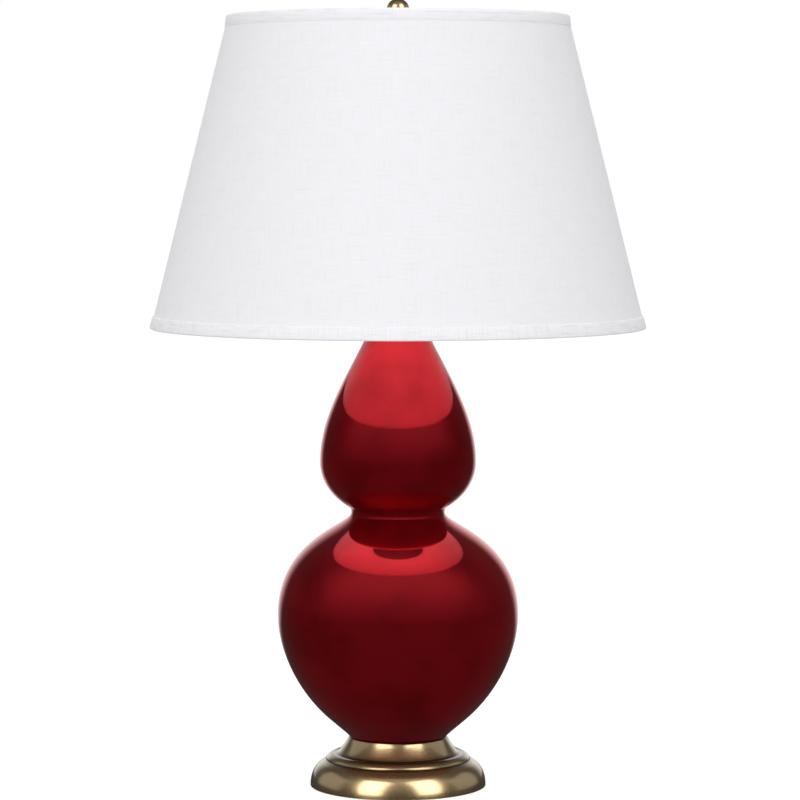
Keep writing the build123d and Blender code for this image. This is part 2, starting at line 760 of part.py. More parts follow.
def spider():
    """Washer on the stud's flange with three arms welded to it, raised to meet the top ring."""
    wire_r, wire_z = wire_place(top_wire_radius, shade_top_z, -1)
    level = seat_z + spider_wire_radius
    path = Plane.XZ * FilletPolyline((spider_washer_radius - 2 * spider_wire_radius, level),
                                     (wire_r - spider_rise_width, level), (wire_r, wire_z),
                                     radius=spider_bend)
    arm = bent_wire(path, spider_wire_radius) - top_ring()
    arm = arm.solids().sort_by(SortBy.VOLUME)[-1]
    washer = disc(spider_washer_radius, seat_z, finial_z)
    fitting = washer
    for index in range(spider_arm_count):
        fitting += Rot(0, 0, 90 + index * 360 / spider_arm_count) * arm
    return fitting - disc(spider_hole_radius, seat_z - overrun, finial_z + overrun)


def finial():
    """Ball finial with a small base and a blind bore for the stud."""
    top = finial_z + finial_height
    middle = top - ball_radius
    neck_high = middle - (ball_radius ** 2 - finial_neck_radius ** 2) ** 0.5
    base_top = finial_z + finial_base_height
    bore = stud_thread_radius + running_clearance
    depth = seat_z + stud_thread_length + finial_bore_room
    cove_pull = finial_cove / 2
    return turned([
        Polyline((0, depth), (bore, depth), (bore, finial_z), (finial_base_radius, finial_z),
                 (finial_base_radius, base_top)),
        Bezier((finial_base_radius, base_top), (finial_neck_radius + cove_pull, base_top),
               (finial_neck_radius, base_top + cove_pull),
               (finial_neck_radius, base_top + finial_cove)),
        Line((finial_neck_radius, base_top + finial_cove), (finial_neck_radius, neck_high)),
        ThreePointArc((finial_neck_radius, neck_high), (ball_radius, middle), (0, top)),
        Line((0, top), (0, depth)),
    ])


# ---- Socket --------------------------------------------------------------------------------------------
def socket_cap():
    """Lower half of the socket's brass body: threaded hub, dome and upright rim."""
    inside = socket_cap_radius - socket_cap_wall
    floor_z = pipe_top_z + pipe_end_room
    dome = Bezier((hub_radius, dome_z), (hub_radius, dome_z + cap_dome_height / 2),
                  (socket_cap_radius, dome_z + cap_dome_height / 3),
                  (socket_cap_radius, socket_ledge_z))
    hub_bore = turned([
        Line((thread_bore_radius, socket_z), (hub_radius, socket_z)),
        Line((hub_radius, socket_z), (hub_radius, dome_z)), dome,
        Polyline((socket_cap_radius, socket_ledge_z), (socket_cap_radius, socket_cap_top_z),
                 (inside, socket_cap_top_z), (inside, socket_ledge_z),
                 (cap_ledge_radius, socket_ledge_z), (pipe_radius + socket_cap_wall, floor_z),
                 (thread_bore_radius, floor_z), (thread_bore_radius, socket_z)),
    ])
    screw_hole = rod_along_y(set_screw_radius + fixed_clearance, 0, hub_radius + overrun,
                             socket_z + hub_height / 2)
    return hub_bore - screw_hole


def socket_set_screw():
    """Screw through the hub's rear that stops the socket turning on the pipe."""
    start = pipe_radius + fixed_clearance
    height = socket_z + hub_height / 2
    screw = rod_along_y(set_screw_radius, start, start + set_screw_length, height)
    slot = Box(3 * set_screw_radius, 2 * screw_slot_depth, set_screw_slot_width)
    return screw - Pos(0, start + set_screw_length, height) * slot


def shaft_hole(room):
    """Cutter for the switch shaft through the front of the socket."""
    return rod_along_y(switch_shaft_radius + room, -socket_cap_radius - overrun, 0, switch_z)


def socket_shell():
    """Upper half of the socket's brass body, a tube with a rolled lip."""
    top = socket_ledge_z + socket_shell_length
    tube = ring(shell_radius - socket_shell_wall, shell_radius, socket_ledge_z, top)
    lip = Pos(0, 0, top - socket_lip) * Torus(shell_radius, socket_lip)
    outside = lip - disc(shell_radius - socket_shell_wall, top - 3 * socket_lip, top + socket_lip)
    return tube + outside - shaft_hole(shaft_hole_room)


def socket_insulator():
    """Card liner that keeps the live parts off the shell."""
    top = socket_ledge_z + socket_shell_length - insulator_short
    tube = ring(insulator_radius - insulator_wall, insulator_radius, socket_ledge_z, top)
    return tube - shaft_hole(shaft_hole_room)


def switch_block():
    """Moulded block that holds the switch, the contacts and the terminals."""
    block = disc(block_radius, socket_ledge_z, block_top_z)
    chop = Box(block_radius, 3 * block_radius, 3 * block_height,
               align=(Align.MIN, Align.CENTER, Align.CENTER))
    terminal_hole = terminal_shank_radius + fixed_clearance
    terminal = disc(terminal_hole, 0, terminal_shank_length + overrun)
    for side in (-1, 1):
        turn = Rot(0, 0, 0 if side > 0 else 180)
        block -= turn * (Pos(block_flat, 0, block_top_z) * chop)
        bottom = Pos(block_flat - terminal_shank_length, 0, switch_z)
        block -= turn * (bottom * (Rot(0, 90, 0) * terminal))
    shaft_end = switch_shaft_depth + running_clearance
    return block - rod_along_y(switch_shaft_radius + running_clearance, -block_radius - overrun,
                               shaft_end - block_radius, switch_z)


def terminal_screws():
    """Two slotted binding screws, one in each side flat of the block."""
    head = disc(terminal_head_radius, 0, terminal_head_thickness)
    shank = disc(terminal_shank_radius, -terminal_shank_length, 0)
    slot = Box(3 * terminal_head_radius, terminal_slot_width, 2 * screw_slot_depth)
    screw = Rot(0, 90, 0) * (head + shank - Pos(0, 0, terminal_head_thickness) * slot)
    screws = []
    for turn in (0, 180):
        screws.append(Rot(0, 0, turn) * (Pos(block_flat, 0, switch_z) * screw))
    return Compound(screws)


def screw_shell():
    """Threaded shell that takes the bulb, with a holed floor on the block."""
    top = block_top_z + screw_shell_length
    outer = screw_shell_radius + screw_shell_wall
    floor = block_top_z + screw_shell_wall
    count = int((screw_shell_length - 2 * thread_pitch) / thread_pitch)
    side = ridged_side(outer, block_top_z, top, thread_pitch, thread_depth, count)
    return turned([
        *side,
        Polyline((outer, top), (screw_shell_radius, top), (screw_shell_radius, floor),
                 (screw_shell_hole_radius, floor), (screw_shell_hole_radius, block_top_z),
                 (outer, block_top_z)),
    ])


def leaf(points, width, across):
    """Thin bent contact strip along points drawn in the plane square to its width."""
    plane = Plane.YZ if across.X else Plane.XZ
    path = plane * FilletPolyline(*points, radius=contact_thickness)
    return bent_strip(path, width, contact_thickness, across)


def centre_contact():
    """Leaf that meets the bulb's tip, standing on the block inside the screw shell's floor."""
    reach = screw_shell_hole_radius - 2 * fixed_clearance
    low = block_top_z + contact_thickness / 2
    high = bulb_z - contact_thickness / 2
    points = [(-reach, low), (-0.7 * reach, low), (-0.35 * reach, high), (0.5 * reach, high)]
    return leaf(points, contact_width, Vector(1, 0, 0))


def ring_contact():
    """Bridge-shaped leaf behind the middle that meets the bulb's second contact."""
    low = block_top_z + contact_thickness / 2
    high = bulb_z + bulb_ring_rise - contact_thickness / 2
    foot = ring_contact_span / 2
    points = [(-foot, low), (-0.7 * foot, low), (-0.45 * foot, high), (0.45 * foot, high),
              (0.7 * foot, low), (foot, low)]
    return Pos(0, bulb_ring_radius, 0) * leaf(points, ring_contact_width, Vector(0, 1, 0))


# ---- Switch --------------------------------------------------------------------------------------------
def switch_shaft():
    """Brass shaft from the switch block out to the knob."""
    inner = switch_shaft_depth - block_radius
    outer = -shell_radius - knob_gap - knob_bore_depth
    return rod_along_y(switch_shaft_radius, outer, inner, switch_z)


def switch_knob():
    """Fluted and slightly tapered turn knob with a rounded end, bored for the shaft."""
    end = knob_length - knob_round
    knob = turned([
        Polyline((0, knob_length), (0, 0), (knob_radius, 0), (knob_tip_radius, end)),
        Bezier((knob_tip_radius, end), (knob_tip_radius, end + knob_round / 2),
               (knob_tip_radius - knob_round / 2, knob_length),
               (knob_tip_radius - knob_round, knob_length)),
        Line((knob_tip_radius - knob_round, knob_length), (0, knob_length)),
    ])
    flute = disc(knob_flute_radius, -overrun, knob_length + overrun)
    lean = degrees(atan2(knob_radius - knob_tip_radius, end))
    for index in range(knob_flute_count):
        around = Rot(0, 0, (index + 0.5) * 360 / knob_flute_count)
        place = Pos(knob_radius + knob_flute_room, 0, 0) * Rot(0, -lean, 0)
        knob -= around * (place * flute)
    shaft_bore = switch_shaft_radius + fixed_clearance
    knob -= disc(shaft_bore, -overrun, knob_bore_depth + fixed_clearance)
    return Pos(0, -shell_radius - knob_gap, switch_z) * (Rot(90, 0, 0) * knob)


# ---- Bulb ----------------------------------------------------------------------------------------------
bulb_face_z = bulb_z + bulb_ring_rise + bulb_ring_thickness
bulb_cap_z = bulb_face_z + bulb_insulator_height - bulb_cap_wall
bulb_cap_top_z = bulb_cap_z + bulb_cap_length
bulb_top_z = bulb_z + bulb_length
glass_z = bulb_cap_top_z - glass_in_cap
glass_neck_radius = bulb_cap_radius - bulb_thread_depth - bulb_cap_wall - fixed_clearance


def bulb_tip():
    """End contact of the bulb, flat on its leaf."""
    return disc(bulb_tip_radius, bulb_z, bulb_face_z + bulb_tip_depth)


def bulb_ring_contact():
    """Second contact of a three-way bulb, a ring around the tip."""
    half = bulb_ring_width / 2
    return ring(bulb_ring_radius - half, bulb_ring_radius + half, bulb_z + bulb_ring_rise, bulb_face_z)


def bulb_insulator():
    """Glass insulator between the bulb's contacts and its metal cap."""
    inner = bulb_tip_radius + fixed_clearance
    face = bulb_ring_radius + bulb_ring_width
    top = bulb_face_z + bulb_insulator_height
    return turned_polygon((inner, bulb_face_z), (face, bulb_face_z),
                          (bulb_insulator_radius, top - bulb_cap_wall),
                          (bulb_insulator_radius, top), (inner, top))


def bulb_cap():
    """Ridged metal cap of the bulb, closed in under its threads around the insulator."""
    side_radius = bulb_cap_radius - bulb_thread_depth
    inside = side_radius - bulb_cap_wall
    hole = bulb_insulator_radius + fixed_clearance
    thread_top = bulb_cap_z + bulb_thread_length + bulb_cap_wall
    count = int(bulb_thread_length / thread_pitch)
    side = ridged_side(side_radius, bulb_cap_z, thread_top, thread_pitch, bulb_thread_depth, count)
    return turned([
        *side,
        Polyline((side_radius, thread_top), (side_radius, bulb_cap_top_z), (inside, bulb_cap_top_z),
                 (inside, bulb_cap_z + bulb_cap_wall), (hole, bulb_cap_z + bulb_cap_wall),
                 (hole, bulb_cap_z), (side_radius, bulb_cap_z)),
    ])


def glass_side(inset):
    """Edges of the bulb's envelope from its neck to its crown, moved inwards by an inset."""
    radius = bulb_radius - inset
    middle = bulb_top_z - bulb_radius
    neck = glass_neck_radius - inset
    return [
        Line((neck, glass_z), (neck, bulb_cap_top_z)),
        Bezier((neck, bulb_cap_top_z), (neck, bulb_cap_top_z + bulb_neck_pull),
               (radius, middle - bulb_globe_pull), (radius, middle)),
        ThreePointArc((radius, middle), polar((0, middle), 45, radius), (0, middle + radius)),
    ]


def bulb_glass():
    """Frosted glass envelope, an even shell open at its neck inside the metal cap."""
    inner_neck = glass_neck_radius - glass_thickness
    return turned([
        *glass_side(0), *glass_side(glass_thickness),
        Line((0, bulb_top_z), (0, bulb_top_z - glass_thickness)),
        Line((glass_neck_radius, glass_z), (inner_neck, glass_z)),
    ])


def bulb_stem():
    """Glass stem that closes the envelope's neck and carries the filament."""
    flare = glass_neck_radius - glass_thickness - fixed_clearance
    shoulder = glass_z + flare
    top = glass_z + stem_height
    return turned([
        Polyline((0, top), (0, glass_z), (flare, glass_z), (flare, glass_z + glass_thickness)),
        Bezier((flare, glass_z + glass_thickness), (flare / 2, glass_z + glass_thickness),
               (stem_radius, glass_z + flare / 2), (stem_radius, shoulder)),
        Polyline((stem_radius, shoulder), (stem_radius, top), (0, top)),
    ])


def bulb_filament():
    """Lead wires and the filament between them, as one bent wire on the stem's end."""
    base = stem_radius - 2 * filament_wire_radius
    low = glass_z + stem_height
    high = low + filament_rise
    right = [(base, low), (base, low + filament_lead), (filament_half_span, high)]
    left = [(-x, z) for x, z in reversed(right)]
    bend = 2 * filament_wire_radius
    path = Plane.XZ * FilletPolyline(*right, *left, radius=bend)
    return bent_wire(path, filament_wire_radius)


pieces = {
    "felt_pad": felt_pad(),
    "bottom_board": bottom_board(),
    "foot_skirt": foot_skirt(),
    "foot_cup": foot_cup(),
    "cord_bushing": cord_bushing(),
    "clamp_washer": clamp_washer(),
    "lock_washer": lock_washer(),
    "lower_nut": lower_nut(),
    "threaded_pipe": threaded_pipe(),
    "seat_gasket": seat_gasket(),
    "gourd_bowl": gourd_bowl(),
    "gourd_shoulder": gourd_shoulder(),
    "gourd_upper": gourd_upper(),
    "vase_cap": vase_cap(),
    "neck_tube": neck_tube(),
    "check_ring": check_ring(),
    "harp_saddle": harp_saddle(),
    "harp_wire": harp_wire(),
    "harp_stud": harp_stud(),
    "ferrule_left": ferrule(-1),
    "ferrule_right": ferrule(1),
    "shade_fabric": shade_fabric(),
    "shade_liner": shade_liner(),
    "top_ring": top_ring(),
    "bottom_ring": bottom_ring(),
    "top_trim": top_trim(),
    "bottom_trim": bottom_trim(),
    "spider": spider(),
    "finial": finial(),
    "socket_cap": socket_cap(),
    "socket_set_screw": socket_set_screw(),
    "socket_shell": socket_shell(),
    "socket_insulator": socket_insulator(),
    "switch_block": switch_block(),
    "terminal_screws": terminal_screws(),
    "screw_shell": screw_shell(),
    "centre_contact": centre_contact(),
    "ring_contact": ring_contact(),
    "switch_shaft": switch_shaft(),
    "switch_knob": switch_knob(),
    "bulb_glass": bulb_glass(),
    "bulb_cap": bulb_cap(),
    "bulb_insulator": bulb_insulator(),
    "bulb_tip": bulb_tip(),
    "bulb_ring_contact": bulb_ring_contact(),
    "bulb_stem": bulb_stem(),
    "bulb_filament": bulb_filament(),
}

os.makedirs("parts", exist_ok=True)
for name, piece in pieces.items():
    export_step(piece, f"parts/{name}.step")
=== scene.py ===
"""Double gourd table lamp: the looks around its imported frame.

The lamp's axis is world Z and its front faces -Y. Lengths are in metres, and MM turns the
millimetres of the maker's drawing into them.
"""

import enum
import logging
import math
from dataclasses import dataclass
from typing import Iterable

import bmesh
import bpy
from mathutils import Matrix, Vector


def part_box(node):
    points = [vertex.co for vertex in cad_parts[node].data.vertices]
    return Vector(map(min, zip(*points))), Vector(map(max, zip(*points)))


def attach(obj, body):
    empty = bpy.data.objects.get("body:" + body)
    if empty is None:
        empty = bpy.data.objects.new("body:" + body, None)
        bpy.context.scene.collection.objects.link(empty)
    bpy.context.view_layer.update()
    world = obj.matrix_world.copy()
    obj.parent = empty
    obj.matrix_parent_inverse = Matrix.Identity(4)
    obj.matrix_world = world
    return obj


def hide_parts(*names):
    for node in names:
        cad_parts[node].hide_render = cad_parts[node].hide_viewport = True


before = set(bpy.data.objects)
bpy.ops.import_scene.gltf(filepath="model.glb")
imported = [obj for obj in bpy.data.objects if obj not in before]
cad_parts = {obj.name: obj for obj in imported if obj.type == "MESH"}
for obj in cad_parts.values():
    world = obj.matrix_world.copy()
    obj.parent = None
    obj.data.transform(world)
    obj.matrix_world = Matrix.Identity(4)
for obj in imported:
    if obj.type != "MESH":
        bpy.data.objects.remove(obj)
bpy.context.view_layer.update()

MM = 0.001
FULL_TURN = 2.0 * math.pi
MATH = "ShaderNodeMath"
NOISE = "ShaderNodeTexNoise"
RANGE = "ShaderNodeMapRange"
SPLIT = "ShaderNodeSeparateXYZ"
JOIN = "ShaderNodeCombineXYZ"
MIX = "ShaderNodeMix"
VECTOR = "ShaderNodeVectorMath"
SMOOTH = "GeometryNodeSetShadeSmooth"
CUT_MAP = "flat_cut"
log = logging.getLogger("gourd_lamp")

Point = tuple[float, float]
Tree = bpy.types.NodeTree
Node = bpy.types.Node
Socket = bpy.types.NodeSocket


# ---- Colours and nodes ---------------------------------------------------------------------------
def paint(code: str) -> tuple[float, float, float, float]:
    """Turns a screen colour into the renderer's linear light.

    Args:
        code: Six hexadecimal digits, red, green and blue.

    Returns:
        Linear red, green, blue and full opacity.
    """
    channels = [int(code[start:start + 2], 16) / 255.0 for start in (0, 2, 4)]
    light = [c / 12.92 if c <= 0.04045 else ((c + 0.055) / 1.055) ** 2.4 for c in channels]
    return (light[0], light[1], light[2], 1.0)


def put(tree: Tree, kind: str, links: dict | None = None, **settings: object) -> Node:
    """Adds one node, sets it up and joins what feeds it.

    Args:
        tree: Tree that gets the node.
        kind: Blender's name for the node.
        links: Input name or index to a value, a socket, or a node whose first output feeds it.
        settings: Properties of the node.

    Returns:
        The new node.
    """
    added = tree.nodes.new(kind)
    for name, value in settings.items():
        setattr(added, name, value)
    for key, value in (links or {}).items():
        if isinstance(value, Node):
            value = value.outputs[0]
        if isinstance(value, Socket):
            tree.links.new(value, added.inputs[key])
        else:
            added.inputs[key].default_value = value
    return added


# ---- Finishes ------------------------------------------------------------------------------------
class Lay(enum.Enum):
    """How a metal's fine marks run."""

    TURNED = "round the lamp's axis"
    DRAWN = "all ways, as on wire and pressings"


@dataclass(frozen=True)
class Finish:
    """Real finish: two colours shared out by a mask, and a skin with a real depth."""

    name: str
    colour: str
    second: str
    gloss: float
    depth: float
    scuff: float = 0.1

    def material(self) -> bpy.types.Material:
        """Makes the finish's node material.

        Returns:
            The new material.
        """
        made = bpy.data.materials.new(self.name)
        made.use_nodes = True
        tree = made.node_tree
        tree.nodes.clear()
        place = self.place(tree)
        mask = self.mask(tree, place)
        colour = put(tree, MIX, {0: mask, 6: paint(self.colour), 7: paint(self.second)},
                     data_type="RGBA").outputs[2]
        rough = put(tree, MATH, {0: mask, 1: self.scuff, 2: self.gloss}, operation="MULTIPLY_ADD")
        relief = put(tree, "ShaderNodeBump",
                     {"Height": self.skin(tree, place), "Distance": self.depth, "Strength": 1.0})
        shader = put(tree, "ShaderNodeBsdfPrincipled",
                     {"Base Color": colour, "Roughness": rough, "Normal": relief, **self.body()})
        put(tree, "ShaderNodeOutputMaterial", {"Surface": shader})
        return made

    def place(self, tree: Tree) -> Socket:
        """Gives the place on the piece in metres."""
        return put(tree, "ShaderNodeTexCoord").outputs["Object"]

    def body(self) -> dict[str, float]:
        """Gives the shader's inputs that are the same all over the piece."""
        return {}

    def mask(self, tree: Tree, place: Socket) -> Node:
        """Adds the share of the second colour, from 0 to 1."""
        raise NotImplementedError

    def skin(self, tree: Tree, place: Socket) -> Node:
        """Adds the height of the surface, from 0 to 1 of the depth."""
        raise NotImplementedError


@dataclass(frozen=True)
class LustreGlaze(Finish):
    """Fired ruby lustre glaze on thrown stoneware: wet, deep red, mirror-like."""

    lustre: float = 0.87
    pool_size: float = 60 * MM
    ring_pitch: float = 9 * MM
    peel_size: float = 3.2 * MM
    coat: float = 0.25
    coat_gloss: float = 0.03
    pool_span: Point = (0.40, 0.70)
    pool_share: float = 0.6
    ring_wander: float = 5.0
    ring_share: float = 0.5

    def body(self) -> dict[str, float]:
        """Gives the lustre and the clear coat over it."""
        return {"Metallic": self.lustre, "Coat Weight": self.coat,
                "Coat Roughness": self.coat_gloss}

    def mask(self, tree: Tree, place: Socket) -> Node:
        """Adds slow pools of thicker, darker glaze."""
        pool = put(tree, NOISE, {"Vector": place, "Scale": 1 / self.pool_size, "Detail": 3.0})
        return put(tree, RANGE, {0: pool, 1: self.pool_span[0], 2: self.pool_span[1], 3: 0.0,
                                 4: self.pool_share}, interpolation_type="SMOOTHSTEP")

    def skin(self, tree: Tree, place: Socket) -> Node:
        """Adds the thrower's faint rings and the glaze's peel."""
        height = put(tree, SPLIT, {0: place}).outputs[2]
        wander = put(tree, NOISE, {"Vector": place, "Scale": 1 / self.pool_size})
        turns = put(tree, MATH, {0: height, 1: FULL_TURN / self.ring_pitch}, operation="MULTIPLY")
        phase = put(tree, MATH, {0: wander, 1: self.ring_wander, 2: turns},
                    operation="MULTIPLY_ADD")
        rings = put(tree, MATH, {0: phase}, operation="SINE")
        peel = put(tree, NOISE, {"Vector": place, "Scale": 1 / self.peel_size, "Detail": 1.0})
        return put(tree, MATH, {0: rings, 1: self.ring_share, 2: peel}, operation="MULTIPLY_ADD")


@dataclass(frozen=True)
class BareClay(Finish):
    """Unglazed stoneware of the foot ring and the inside: dry, buff, specked with iron, sandy."""

    speck_size: float = 1.6 * MM
    sand_size: float = 0.5 * MM
    speck_span: Point = (0.58, 0.70)
    speck_share: float = 0.8

    def mask(self, tree: Tree, place: Socket) -> Node:
        """Adds small iron specks."""
        specks = put(tree, NOISE, {"Vector": place, "Scale": 1 / self.speck_size, "Detail": 4.0})
        return put(tree, RANGE, {0: specks, 1: self.speck_span[0], 2: self.speck_span[1], 3: 0.0,
                                 4: self.speck_share})

    def skin(self, tree: Tree, place: Socket) -> Node:
        """Adds the clay's sandy tooth."""
        return put(tree, NOISE, {"Vector": place, "Scale": 1 / self.sand_size, "Detail": 3.0})


@dataclass(frozen=True)
class Metal(Finish):
    """Brass, steel or plating: finely marked the way it was worked, cloudy and dark in its creases.

    Real turning marks lie about 0.05 mm apart. They are drawn coarser, so that they show.
    """

    lay: Lay = Lay.DRAWN
    mark_size: float = 0.35 * MM
    cloud_size: float = 11 * MM
    cloud_share: float = 0.4
    creases: tuple[float, ...] = ()
    crease_core: float = 0.4 * MM
    crease_reach: float = 2.4 * MM
    crease_share: float = 0.9
    lacquer: float = 0.0
    bare_share: float = 1.0
    lacquer_gloss: float = 0.16
    cloud_span: Point = (0.45, 0.75)
    mark_drift: float = 0.02

    def body(self) -> dict[str, float]:
        """Gives the metal, the share of it that no wax covers, and the clear lacquer over it."""
        return {"Metallic": self.bare_share, "Coat Weight": self.lacquer,
                "Coat Roughness": self.lacquer_gloss}

    def mask(self, tree: Tree, place: Socket) -> Node:
        """Adds clouds of tarnish, and dark wax left in the creases round the axis."""
        cloud = put(tree, NOISE, {"Vector": place, "Scale": 1 / self.cloud_size, "Detail": 4.0})
        dull = put(tree, RANGE, {0: cloud, 1: self.cloud_span[0], 2: self.cloud_span[1], 3: 0.0,
                                 4: self.cloud_share}, interpolation_type="SMOOTHSTEP")
        height = put(tree, SPLIT, {0: place}).outputs[2]
        for crease in self.creases:
            away = put(tree, MATH, {0: height, 1: crease}, operation="SUBTRACT")
            away = put(tree, MATH, {0: away}, operation="ABSOLUTE")
            near = put(tree, RANGE, {0: away, 1: self.crease_core, 2: self.crease_reach,
                                     3: self.crease_share, 4: 0.0}, interpolation_type="SMOOTHSTEP")
            dull = put(tree, MATH, {0: dull, 1: near}, operation="MAXIMUM")
        return dull

    def skin(self, tree: Tree, place: Socket) -> Node:
        """Adds the fine marks of turning, or of drawing and pressing."""
        along: Socket | Node = place
        if self.lay is Lay.TURNED:
            parts = put(tree, SPLIT, {0: place})
            level = put(tree, JOIN, {0: parts.outputs[0], 1: parts.outputs[1]})
            radius = put(tree, VECTOR, {0: level}, operation="LENGTH").outputs[1]
            drift = put(tree, MATH, {0: parts.outputs[0], 1: self.mark_drift}, operation="MULTIPLY")
            along = put(tree, JOIN, {0: radius, 1: drift, 2: parts.outputs[2]})
        return put(tree, NOISE, {"Vector": along, "Scale": 1 / self.mark_size, "Detail": 3.0})


@dataclass(frozen=True)
class PlainWeave(Finish):
    """Plain-woven cloth laid along its own flat cut: matt, fine, with a few thicker yarns.

    Real yarns lie about 0.4 mm apart. They are drawn coarser, so that they show.
    """

    warp_pitch: float = 0.60 * MM
    weft_pitch: float = 0.70 * MM
    slub_length: float = 26 * MM
    sheen: float = 0.15
    slub_span: Point = (0.50, 0.78)
    slub_rise: float = 0.4
    yarn_rise: float = 0.3

    def place(self, tree: Tree) -> Socket:
        """Gives the place on the flat cut in metres."""
        return put(tree, "ShaderNodeUVMap", uv_map=CUT_MAP).outputs[0]

    def body(self) -> dict[str, float]:
        """Gives the soft edge of the fibres."""
        return {"Sheen Weight": self.sheen, "Sheen Roughness": 0.5}

    def mask(self, tree: Tree, place: Socket) -> Node:
        """Adds long thicker yarns, a shade darker at their sides, both ways of the cloth."""
        shares = []
        for width, length in ((self.slub_length, 2 * self.weft_pitch),
                              (2 * self.warp_pitch, self.slub_length)):
            along = put(tree, "ShaderNodeMapping",
                        {0: place, "Scale": (1 / width, 1 / length, 1.0)})
            slub = put(tree, NOISE, {"Vector": along, "Scale": 1.0, "Detail": 1.0})
            shares.append(put(tree, RANGE, {0: slub, 1: self.slub_span[0], 2: self.slub_span[1],
                                            3: 0.0, 4: 1.0}))
        return put(tree, MATH, {0: shares[0], 1: shares[1]}, operation="MAXIMUM")

    def skin(self, tree: Tree, place: Socket) -> Node:
        """Adds two sets of round yarns that pass over and under each other."""
        parts = put(tree, SPLIT, {0: place})
        sets = []
        for across, along, pitch in ((0, 1, self.warp_pitch), (1, 0, self.weft_pitch)):
            waves = []
            for way in (across, along):
                turn = put(tree, MATH, {0: parts.outputs[way], 1: math.pi / pitch},
                           operation="MULTIPLY")
                waves.append(put(tree, MATH, {0: turn}, operation="SINE"))
            yarn = put(tree, MATH, {0: waves[0]}, operation="ABSOLUTE")
            share = put(tree, MATH, {0: waves[1], 1: self.yarn_rise, 2: 1.0 - self.yarn_rise},
                        operation="MULTIPLY_ADD")
            sets.append(put(tree, MATH, {0: yarn, 1: share}, operation="MULTIPLY"))
        weave = put(tree, MATH, {0: sets[0], 1: sets[1]}, operation="MAXIMUM")
        slub = self.mask(tree, place)
        return put(tree, MATH, {0: slub, 1: self.slub_rise, 2: weave}, operation="MULTIPLY_ADD")


@dataclass(frozen=True)
class Moulded(Finish):
    """Moulded, rolled or painted skin: even, with a faint grain, cloudy where it was handled."""

    cloud_size: float = 14 * MM
    cloud_share: float = 0.3
    grain_size: float = 0.45 * MM
    cloud_span: Point = (0.40, 0.70)

    def mask(self, tree: Tree, place: Socket) -> Node:
        """Adds clouds of handling."""
        cloud = put(tree, NOISE, {"Vector": place, "Scale": 1 / self.cloud_size, "Detail": 4.0})
        return put(tree, RANGE, {0: cloud, 1: self.cloud_span[0], 2: self.cloud_span[1], 3: 0.0,
                                 4: self.cloud_share}, interpolation_type="SMOOTHSTEP")

    def skin(self, tree: Tree, place: Socket) -> Node:
        """Adds the mould's or brush's faint grain."""
        return put(tree, NOISE, {"Vector": place, "Scale": 1 / self.grain_size, "Detail": 3.0})


@dataclass(frozen=True)
class PressedFibre(Finish):
    """Felt, hardboard or card: short crossing fibres, with painted shade in the hollows between
    them.

    Real fibres are about 0.03 mm thick. They are drawn as tufts of many, so that they show.
    """

    fibre_width: float = 0.35 * MM
    stretch: float = 6.0
    sheen: float = 0.2
    shaded_hollow_span: Point = (0.48, 0.66)
    shaded_hollow_share: float = 0.7

    def body(self) -> dict[str, float]:
        """Gives the nap of the fibres."""
        return {"Sheen Weight": self.sheen, "Sheen Roughness": 0.6}

    def mask(self, tree: Tree, place: Socket) -> Node:
        """Adds painted shade: the darker second colour in the hollows, where the fibres lie lower.
        """
        # Painted shade: where the fibres' relief is low, the mask gives the darker second colour.
        return put(tree, RANGE, {0: self.skin(tree, place), 1: self.shaded_hollow_span[0],
                                 2: self.shaded_hollow_span[1], 3: self.shaded_hollow_share, 4: 0.0})

    def skin(self, tree: Tree, place: Socket) -> Node:
        """Adds two layers of fibres that cross."""
        layers = []
        for scale in ((1 / self.stretch, 1.0, 1.0), (1.0, 1 / self.stretch, 1.0)):
            laid = put(tree, "ShaderNodeMapping", {0: place, "Scale": scale})
            layers.append(put(tree, NOISE,
                              {"Vector": laid, "Scale": 1 / self.fibre_width, "Detail": 4.0}))
        return put(tree, MATH, {0: layers[0], 1: layers[1]}, operation="MAXIMUM")


@dataclass(frozen=True)
class BlownGlass(Finish):
    """Blown or pressed glass: a faint ripple, and an etched bloom where it is frosted."""

    passing: float = 1.0
    bloom_size: float = 0.6 * MM
    ripple_size: float = 14 * MM

    def body(self) -> dict[str, float]:
        """Gives how much light passes, at the bend of soda-lime glass."""
        return {"Transmission Weight": self.passing, "IOR": 1.5}

    def mask(self, tree: Tree, place: Socket) -> Node:
        """Adds the uneven bloom of etching."""
        return put(tree, NOISE, {"Vector": place, "Scale": 1 / self.bloom_size, "Detail": 2.0})

    def skin(self, tree: Tree, place: Socket) -> Node:
        """Adds the blower's ripple."""
        return put(tree, NOISE, {"Vector": place, "Scale": 1 / self.ripple_size, "Detail": 1.0})


